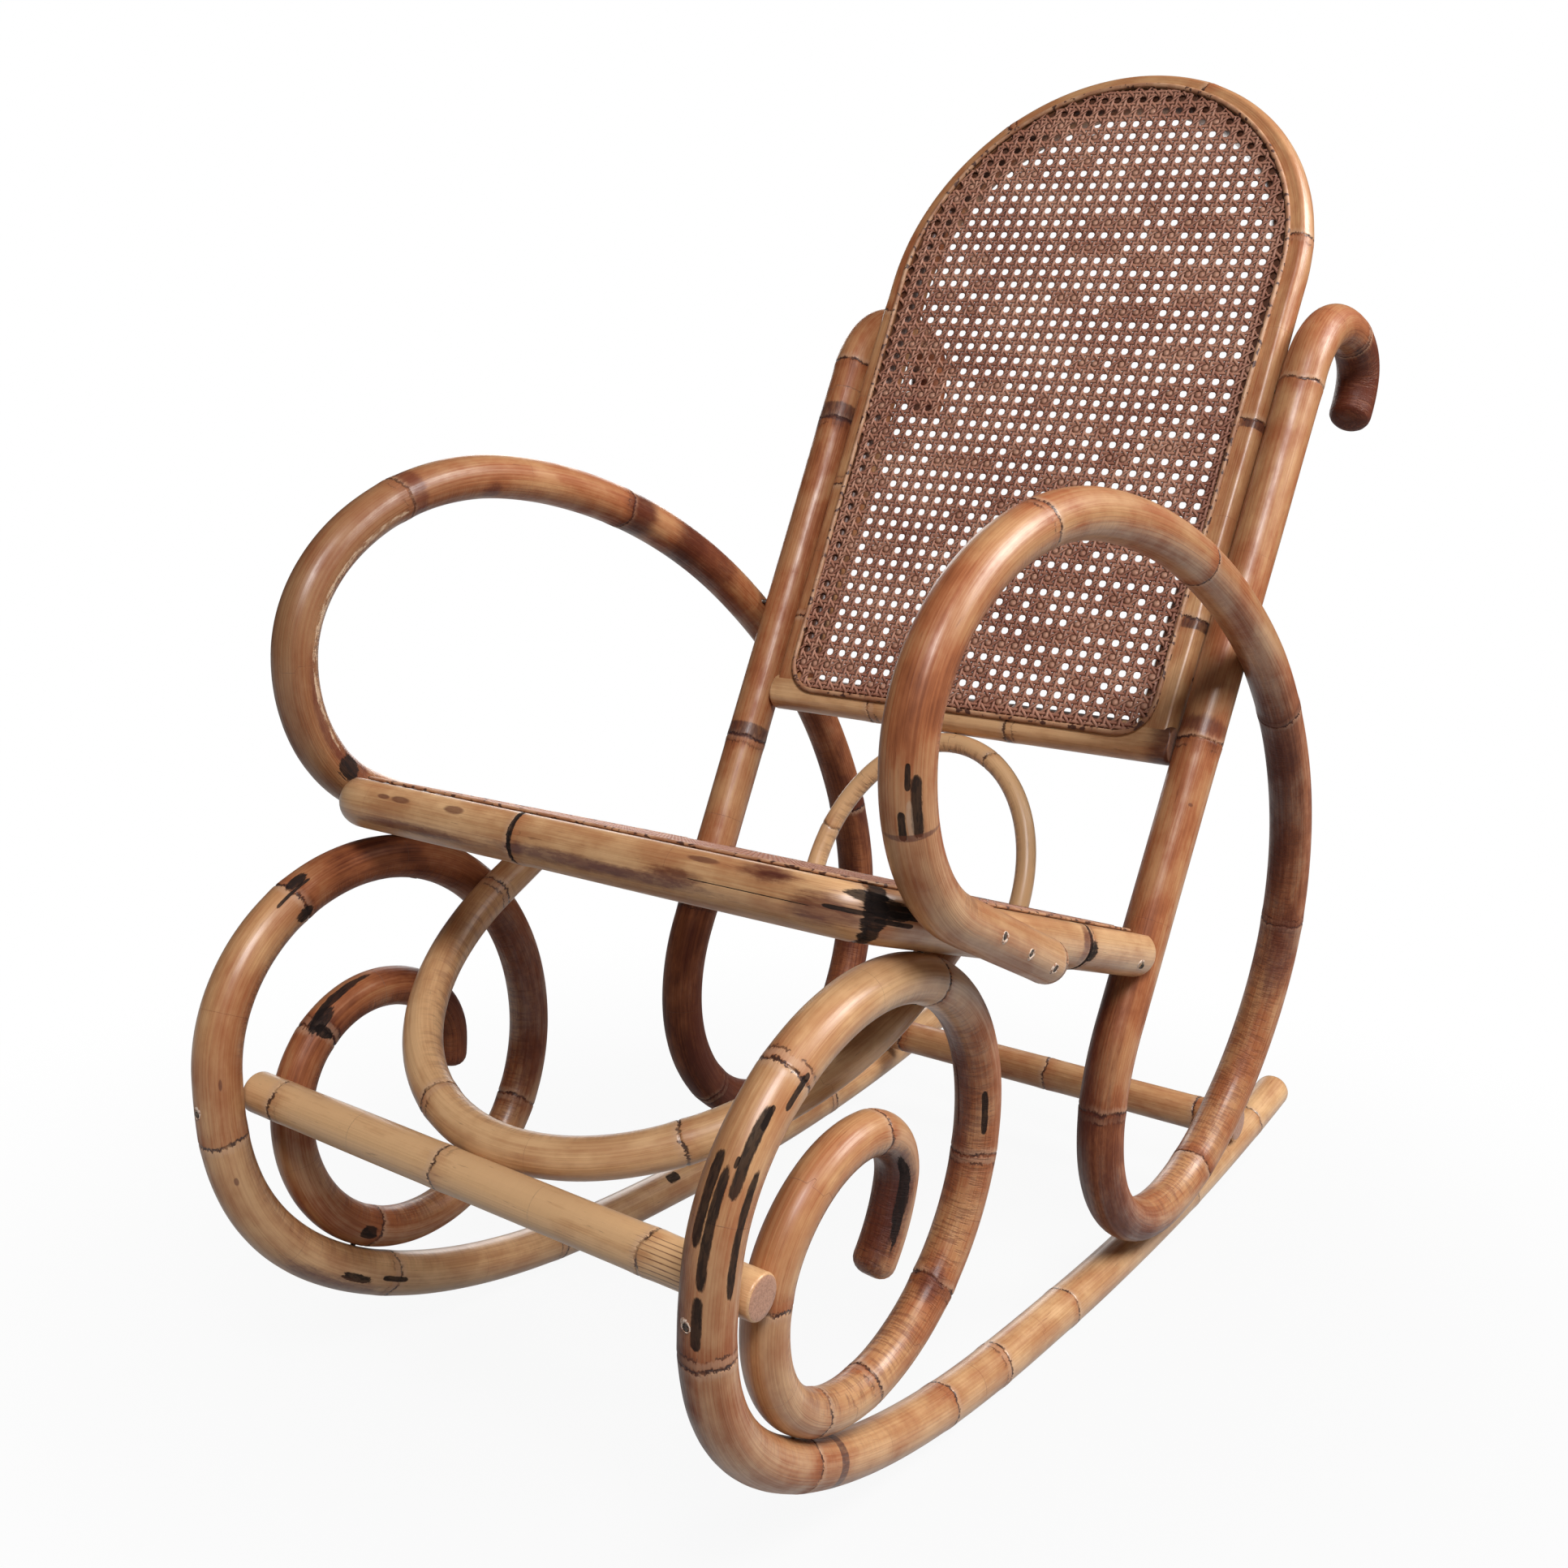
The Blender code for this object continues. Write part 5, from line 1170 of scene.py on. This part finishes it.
def weave_sheet(name, runs, fills, place, material, replaces, seed):
    """Sweeps all strands of a sheet, presses them flat and puts the sheet in place."""
    rng = random.Random(seed)
    curve = round_curve(name, STRAND_W, 0, True)
    curve.twist_mode = "Z_UP"
    tones = []
    for points, width in runs:
        spline = curve.splines.new("POLY")
        spline.points.add(len(points) - 1)
        shade = rng.uniform(0.0, 0.5)
        for point, (x, y, z) in zip(spline.points, points):
            point.co = (x, y, z * PRESS, 1.0)
            point.radius = width / STRAND_W
        tones += [shade] * (4 * len(points))
    mesh = swept(curve)
    sheet = bmesh.new()
    sheet.from_mesh(mesh)
    shade_of = sheet.verts.layers.float.new("tone")
    sheet.verts.ensure_lookup_table()
    for k, vert in enumerate(sheet.verts):
        vert[shade_of] = tones[min(k, len(tones) - 1)]
    bmesh.ops.scale(sheet, verts=sheet.verts, vec=(1, 1, 1 / PRESS))
    for x, y in fills:
        lump = bmesh.ops.create_icosphere(sheet, subdivisions=1, radius=LUMP_R)["verts"]
        bmesh.ops.scale(sheet, verts=lump, vec=(rng.uniform(0.9, 1.2), rng.uniform(0.8, 1.1), LUMP_FLAT))
        bmesh.ops.translate(sheet, verts=lump, vec=(x, y, -WAVE * LUMP_SUNK))
        shade = rng.uniform(-0.45, 0.05)
        for vert in lump:
            vert[shade_of] = shade
    bmesh.ops.transform(sheet, matrix=Matrix.Translation((0, MODEL_Y, 0)) @ place, verts=sheet.verts)
    sheet.to_mesh(mesh)
    sheet.free()
    print(name, len(runs), "strands,", len(fills), "closed holes, expected", len(tones), "strand points")
    return settle(name, mesh, material, replaces)


print("strands are drawn", round(PRESS, 1), "times too thick and then pressed")

# %% [markdown]
# ## Back sheet
# The back's sheet fills the arch. Some of its openings are closed by old varnish and dirt, in clumps that
# run along the level strands, so a smooth random field picks which.

# %% Back sheet
BEAD_D, GAP, SHEET_T = 0.0045, 0.0003, 0.0025
BEAD_LAP = 0.0006
EDGE_INSET = BEAD_D / 2 - BEAD_LAP
SHEET_MIDDLE = BACK_D / 2 - LAND_DEPTH + GAP + SHEET_T / 2
BACK_SAG = 0.055
FIELD_WAVES, FIELD_NOISE = 7, 0.12


def in_back(x, y):
    """Whether a place in the back's plane lies on its sheet."""
    if y < BACK_CORNER:
        inset = BACK_CORNER - y
        corner = BACK_CORNER - EDGE_INSET
        if y < EDGE_INSET:
            return False
        half = stile_x(0) - EDGE_INSET - corner + math.sqrt(max(corner ** 2 - inset ** 2, 0.0))
        return abs(x) <= half
    if y < BACK_STRAIGHT:
        return abs(x) <= stile_x(y) - EDGE_INSET
    across = x / (stile_x(BACK_STRAIGHT) - EDGE_INSET)
    over = (y - BACK_STRAIGHT) / (BACK_RISE - EDGE_INSET)
    return across ** 2 + over ** 2 <= 1


def clumps(inside, low_x, high_x, low_y, high_y, levels, seed, sag=0.0):
    """Openings that are closed: where a smooth random field, longer along the level strands, is high. The
    field has to reach the first level at the sheet's foot and the second at its top."""
    rng = np.random.default_rng(seed)
    waves = []
    for _ in range(FIELD_WAVES):
        waves.append((rng.uniform(20, 70), rng.uniform(60, 260), rng.uniform(0, 6.3), rng.uniform(0, 6.3)))
    found = []
    for i in range(math.floor(low_x / PITCH), math.ceil(high_x / PITCH) + 1):
        for j in range(math.floor(low_y / PITCH), math.ceil(high_y / PITCH) + 1):
            x, y = i * PITCH, j * PITCH
            level = levels[0] + (levels[1] - levels[0]) * y / high_y
            y -= sag * x * y / high_y
            field = sum(math.sin(a * x + p) * math.sin(b * y + q) for a, b, p, q in waves) / FIELD_WAVES
            if inside(x, y) and field + rng.uniform(-FIELD_NOISE, FIELD_NOISE) > level:
                found.append((x, y))
    return found


back_runs = strand_runs(in_back, -STILE_TOP, STILE_TOP, 0.0, BACK_STRAIGHT + BACK_RISE, BACK_SAG)
back_fills = clumps(in_back, -STILE_TOP, STILE_TOP, 0.0, BACK_STRAIGHT + BACK_RISE, (0.16, 0.23), 5, BACK_SAG)
weave = weave_finish("woven_cane_back")
weave_sheet("back_weave", back_runs, back_fills, BACK_PLACE @ Matrix.Translation((0, 0, SHEET_MIDDLE)), weave,
            ["back_cane_panel"], 61)

# %% [markdown]
# ## Seat sheet
# The seat's sheet is the same weave. The photograph looks along the seat and shows only its front edge.

# %% Seat sheet
REAR_BEAD_Y = 0.450825
POST_NOTCH, NOTCH_X = 0.03, 0.198
SEAT_MIDDLE = SEAT_D / 2 - LAND_DEPTH + GAP + SHEET_T / 2


def in_seat(x, y):
    """Whether a place in the seat's plane lies on its sheet, which is cut away at the two posts."""
    half = SEAT_HALF_WIDTH - EDGE_INSET
    if y < EDGE_INSET or y > REAR_BEAD_Y - EDGE_INSET or abs(x) > half:
        return False
    if y > SEAT_DEPTH - POST_NOTCH and abs(x) > NOTCH_X:
        return False
    corner = SEAT_CORNER - EDGE_INSET
    dx, dy = abs(x) - (half - corner), (EDGE_INSET + corner) - y
    return dx <= 0 or dy <= 0 or dx * dx + dy * dy <= corner * corner


seat_runs = strand_runs(in_seat, -SEAT_HALF_WIDTH, SEAT_HALF_WIDTH, 0.0, REAR_BEAD_Y)
seat_fills = clumps(in_seat, -SEAT_HALF_WIDTH, SEAT_HALF_WIDTH, 0.0, REAR_BEAD_Y, (0.34, 0.34), 9)
weave_sheet("seat_weave", seat_runs, seat_fills, SEAT_PLACE @ Matrix.Translation((0, 0, SEAT_MIDDLE)),
            weave_finish("woven_cane_seat"), ["seat_cane_panel"], 63)

# %% [markdown]
# ## Reed beads
# A reed is pressed into the groove round each sheet and holds its edge. It is a thin round strip, so a
# curve with a round section is enough. The weave's cut ends show beside it as short dark dashes.

# %% Bead helper and beads
REED_PALE, REED_BROWN = (0.50, 0.285, 0.160, 1), (0.34, 0.155, 0.078, 1)
REED_DARK = (0.075, 0.028, 0.017, 1)
SEAT_BEAD_HEIGHT = 0.55
POST_AT_SEAT = 0.2193


def reed_finish(name):
    made, tree, shader = new_material(name)
    cloud = object_noise(tree, 60.0)
    dashes = object_noise(tree, 210.0, 1.0)
    colour = tint(tree, soft_step(tree, cloud, 0.35, 0.65), REED_PALE, REED_BROWN)
    colour = tint(tree, soft_step(tree, dashes, 0.56, 0.64), colour, REED_DARK)
    dress(tree, shader, colour, calc(tree, "MULTIPLY_ADD", cloud, 0.3, 0.35), dashes)
    return made


def bead(name, points, place, closed, material, replaces, height=1.0):
    """A reed along points. A height below 1 presses it down on to its land."""
    curve = round_curve(name, BEAD_D, 3, not closed)
    spline = curve.splines.new("POLY")
    spline.points.add(len(points) - 1)
    for point, (x, y) in zip(spline.points, points):
        point.co = (x, y, 0.0, 1.0)
    spline.use_cyclic_u = closed
    mesh = swept(curve)
    press = Matrix.Translation((0, 0, (height - 1) * BEAD_D / 2)) @ Matrix.Diagonal((1, 1, height, 1))
    mesh.transform(Matrix.Translation((0, MODEL_Y, 0)) @ place @ press)
    return settle(name, mesh, material, replaces)


def back_edge(inset, steps=10):
    """The closed line round the back's sheet."""
    points = arch_outline(BACK_CORNER, inset)
    corner = BACK_CORNER - inset
    for sign in (1, -1):
        turn = []
        for step in range(1, steps + 1):
            angle = math.pi / 2 * step / steps
            x = stile_x(0) - inset - corner + corner * math.cos(angle)
            turn.append((sign * x, BACK_CORNER - corner * math.sin(angle)))
        points += turn if sign > 0 else turn[::-1]
    return points


reed = reed_finish("reed")
bead_lift = Matrix.Translation((0, 0, BACK_D / 2 - LAND_DEPTH + GAP + BEAD_D / 2))
bead("back_reed", back_edge(0.0), BACK_PLACE @ bead_lift, True, reed, ["back_bead"])
bead_lift = Matrix.Translation((0, 0, SEAT_D / 2 - LAND_DEPTH + GAP + BEAD_D / 2))
seat_line = seat_outline(SEAT_HALF_WIDTH, 0.0, SEAT_DEPTH - POST_D - BEAD_D, SEAT_CORNER)
bead("seat_reed", seat_line, SEAT_PLACE @ bead_lift, False, reed, ["seat_bead"], SEAT_BEAD_HEIGHT)
rear_half = POST_AT_SEAT - POST_D / 2 - BEAD_D
rear_line = [(x, REAR_BEAD_Y) for x in np.linspace(-rear_half, rear_half, 12)]
bead("seat_rear_reed", rear_line, SEAT_PLACE @ bead_lift, False, reed, ["seat_rear_bead"], SEAT_BEAD_HEIGHT)

# %% [markdown]
# ## Screws
# Screws show at the arms' tails, at the ends of the seat rails and on the scrolls' front strands. Each sits
# dark in a countersink whose rim has chipped to pale wood on one side. The head is turned by a spin of its
# half section, and its slot is cut by two planes and pushed in. The rim is turned too, then drawn out on
# its chipped side and laid on the cane's round skin point by point. The other screws are plugged, so their
# CAD solids stay inside the canes.

# %% Steel and chipped wood
STEEL_GREY, STEEL_RUST = (0.16, 0.14, 0.12, 1), (0.035, 0.020, 0.014, 1)
CHIP_PALE, CHIP_BROWN = (0.72, 0.57, 0.45, 1), (0.30, 0.135, 0.070, 1)


def mottled_finish(name, scale, detail, step, colours, rough, bump=0.0, metal=None):
    """Two colours mixed by noise that is fixed to the piece. The noise sets the roughness too, and where
    they are asked for a bump and how metallic the piece is."""
    made, tree, shader = new_material(name)
    noise = object_noise(tree, scale, detail)
    colour = tint(tree, soft_step(tree, noise, *step), *colours)
    height = noise if bump else None
    dress(tree, shader, colour, calc(tree, "MULTIPLY_ADD", noise, *rough), height, strength=bump)
    if metal:
        tree.links.new(soft_step(tree, noise, *metal), shader.inputs["Metallic"])
    return made


steel = mottled_finish("worn_screw_steel", 420.0, 3.0, (0.42, 0.60), (STEEL_GREY, STEEL_RUST), (0.5, 0.25),
                       metal=(0.66, 0.42))
chips = mottled_finish("chipped_countersink", 620.0, 4.0, (0.46, 0.62), (CHIP_PALE, CHIP_BROWN), (0.3, 0.45),
                       bump=0.7)
print("finishes", steel.name, chips.name)

# %% Screw shapes
HEAD_R, SLOT_HALF, SLOT_DEPTH = 0.0027, 0.0004, 0.0005
HEAD_CROWN, HEAD_DEEP, RIM_DEEP, RIM_W = 0.0003, 0.0014, 0.0012, 0.001
HEAD_SLOPE, RIM_LIP, RIM_CREST, RIM_FALL = 0.00005, 0.0004, 0.0006, -0.0002
HEAD_STEPS, RIM_STEPS, HEAD_TOP_FROM = 24, 28, -0.0002
# Half sections as pairs of a radius and a height over the cane's skin
HEAD_SECTION = (
    (0, HEAD_CROWN), (HEAD_R * 0.7, HEAD_CROWN - HEAD_SLOPE), (HEAD_R, 0), (HEAD_R, -HEAD_DEEP),
    (0, -HEAD_DEEP),
)
RIM_SECTION = (
    (HEAD_R, -RIM_DEEP), (HEAD_R, RIM_LIP), (HEAD_R + RIM_W / 2, RIM_CREST), (HEAD_R + RIM_W, RIM_FALL),
    (HEAD_R + RIM_W, -RIM_DEEP), (HEAD_R, -RIM_DEEP),
)
CHIP_LEAST, CHIP_MOST, CHIP_RAGGED, SKIN_ROUGH = 0.0006, 0.0030, (-0.0002, 0.0003), 0.0001
SHOT_FROM = 0.03


def head_place(node):
    """Where a CAD screw's head is and which way it looks, from the node's own points."""
    points = np.array([v.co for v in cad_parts[node].data.vertices], float)
    middle = points.mean(0)
    axis = np.linalg.svd(points - middle)[2][0]
    along = (points - middle) @ axis
    wide = np.linalg.norm(points - middle - along[:, None] * axis, axis=1)
    if along[wide.argmax()] < 0:
        axis, along = -axis, -along
    return Vector(points[np.abs(along - along.max()) < 1e-5].mean(0)), Vector(axis)


def turned(profile, segments):
    """A half section in x and z, spun round z and welded."""
    work = bmesh.new()
    points = [work.verts.new((r, 0, z)) for r, z in profile]
    lines = [work.edges.new(pair) for pair in zip(points, points[1:])]
    bmesh.ops.spin(work, geom=points + lines, cent=(0, 0, 0), axis=(0, 0, 1), dvec=(0, 0, 0),
                   angle=2 * math.pi, steps=segments, use_merge=True)
    bmesh.ops.remove_doubles(work, verts=work.verts, dist=0.00001)
    return work


def fit(work, place, name, material, replaces):
    """Turns a small turned piece's faces outwards, puts it in its place and in the scene."""
    bmesh.ops.recalc_face_normals(work, faces=work.faces)
    bmesh.ops.transform(work, matrix=place, verts=work.verts)
    mesh = bpy.data.meshes.new(name)
    work.to_mesh(mesh)
    work.free()
    return settle(name, mesh, material, replaces)


def skin_of(name):
    """The surface of a finished cane, ready for shots at it."""
    cane = bmesh.new()
    cane.from_mesh(bpy.data.objects[name].data)
    found = BVHTree.FromBMesh(cane)
    cane.free()
    return found


def landing(skin, point, ahead):
    """Where a shot at a cane from outside, straight against ahead, meets its skin."""
    hit = skin.ray_cast(point + ahead * SHOT_FROM, -ahead)[0]
    return point if hit is None else hit


def slotted_head():
    """A screw's head with its slot, standing on the origin."""
    head = turned(HEAD_SECTION, HEAD_STEPS)
    for offset in (-SLOT_HALF, SLOT_HALF):
        geom = list(head.verts) + list(head.edges) + list(head.faces)
        bmesh.ops.bisect_plane(head, geom=geom, plane_co=(0, offset, 0), plane_no=(0, 1, 0))
    inner = [v for v in head.verts if abs(v.co.y) < SLOT_HALF * 0.5 and v.co.z > HEAD_TOP_FROM]
    bmesh.ops.translate(head, verts=inner, vec=(0, 0, -SLOT_DEPTH))
    return head


def chipped_rim(chance, skin, place, ahead):
    """A countersink's rim, drawn out on its chipped side and laid on a cane's skin at a place."""
    rim = turned(RIM_SECTION, RIM_STEPS)
    worst = chance.uniform(0, 2 * math.pi)
    for vert in rim.verts:
        angle = math.atan2(vert.co.y, vert.co.x)
        away = Vector((vert.co.x, vert.co.y, 0))
        reach = CHIP_LEAST + CHIP_MOST * max(math.cos(angle - worst), 0.0) ** 0.7
        grown = HEAD_R + (away.length - HEAD_R) * (reach + chance.uniform(*CHIP_RAGGED)) / RIM_W
        flat = away.normalized() * max(grown, HEAD_R)
        skin_height = (place.inverted() @ landing(skin, place @ flat, ahead)).z
        vert.co = (flat.x, flat.y, skin_height + vert.co.z + chance.uniform(-SKIN_ROUGH, SKIN_ROUGH))
    return rim


print("screw heads are", 2 * HEAD_R, "m wide")

# %% Screws in place
CARRIED_BY = {"arm_tail": "post_arm_cane_", "seat_post": "seat_frame_cane", "front_stretcher": "runner_"}
SHOWN = [f"arm_tail_screw_{k}_{side}" for side, sign in SIDES for k in (1, 2, 3)]
SHOWN += [f"{name}_{side}" for name in ("seat_post_screw", "front_stretcher_screw") for side, sign in SIDES]
chance = random.Random(7)
for node in SHOWN:
    carrier = next(cane for key, cane in CARRIED_BY.items() if node.startswith(key))
    skin = skin_of(carrier + node.rsplit("_", 1)[1] if carrier.endswith("_") else carrier)
    spot, ahead = head_place(node)
    facing = ahead.to_track_quat("Z", "Y").to_matrix().to_4x4()
    place = Matrix.Translation(landing(skin, spot, ahead)) @ facing
    place = place @ Matrix.Rotation(chance.uniform(0, math.pi), 4, "Z")
    fit(slotted_head(), place, "head_" + node, steel, [node])
    rim = chipped_rim(chance, skin, place, ahead)
    fit(rim, place, "countersink_" + node, chips, [])
print("screws that show", len(SHOWN))

# %% [markdown]
# ## Hidden fasteners
# The plugged screws and the dowels keep their CAD solids. They get the same steel and a plain beech, so
# that nothing in the model is left with a flat colour.

# %% Finishes of the CAD solids that stay
BEECH_PALE, BEECH_BROWN = (0.62, 0.43, 0.26, 1), (0.48, 0.30, 0.17, 1)

beech = mottled_finish("dowel_beech", 300.0, 3.0, (0.4, 0.6), (BEECH_PALE, BEECH_BROWN), (0.2, 0.55))
kept = 0
for name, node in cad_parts.items():
    if not node.hide_render:
        node.data.materials.clear()
        node.data.materials.append(beech if "dowel" in name else steel)
        kept += 1
print("CAD solids kept", kept)

# %% Size
low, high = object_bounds()
print("visual box", [round(v, 4) for v in low], [round(v, 4) for v in high])
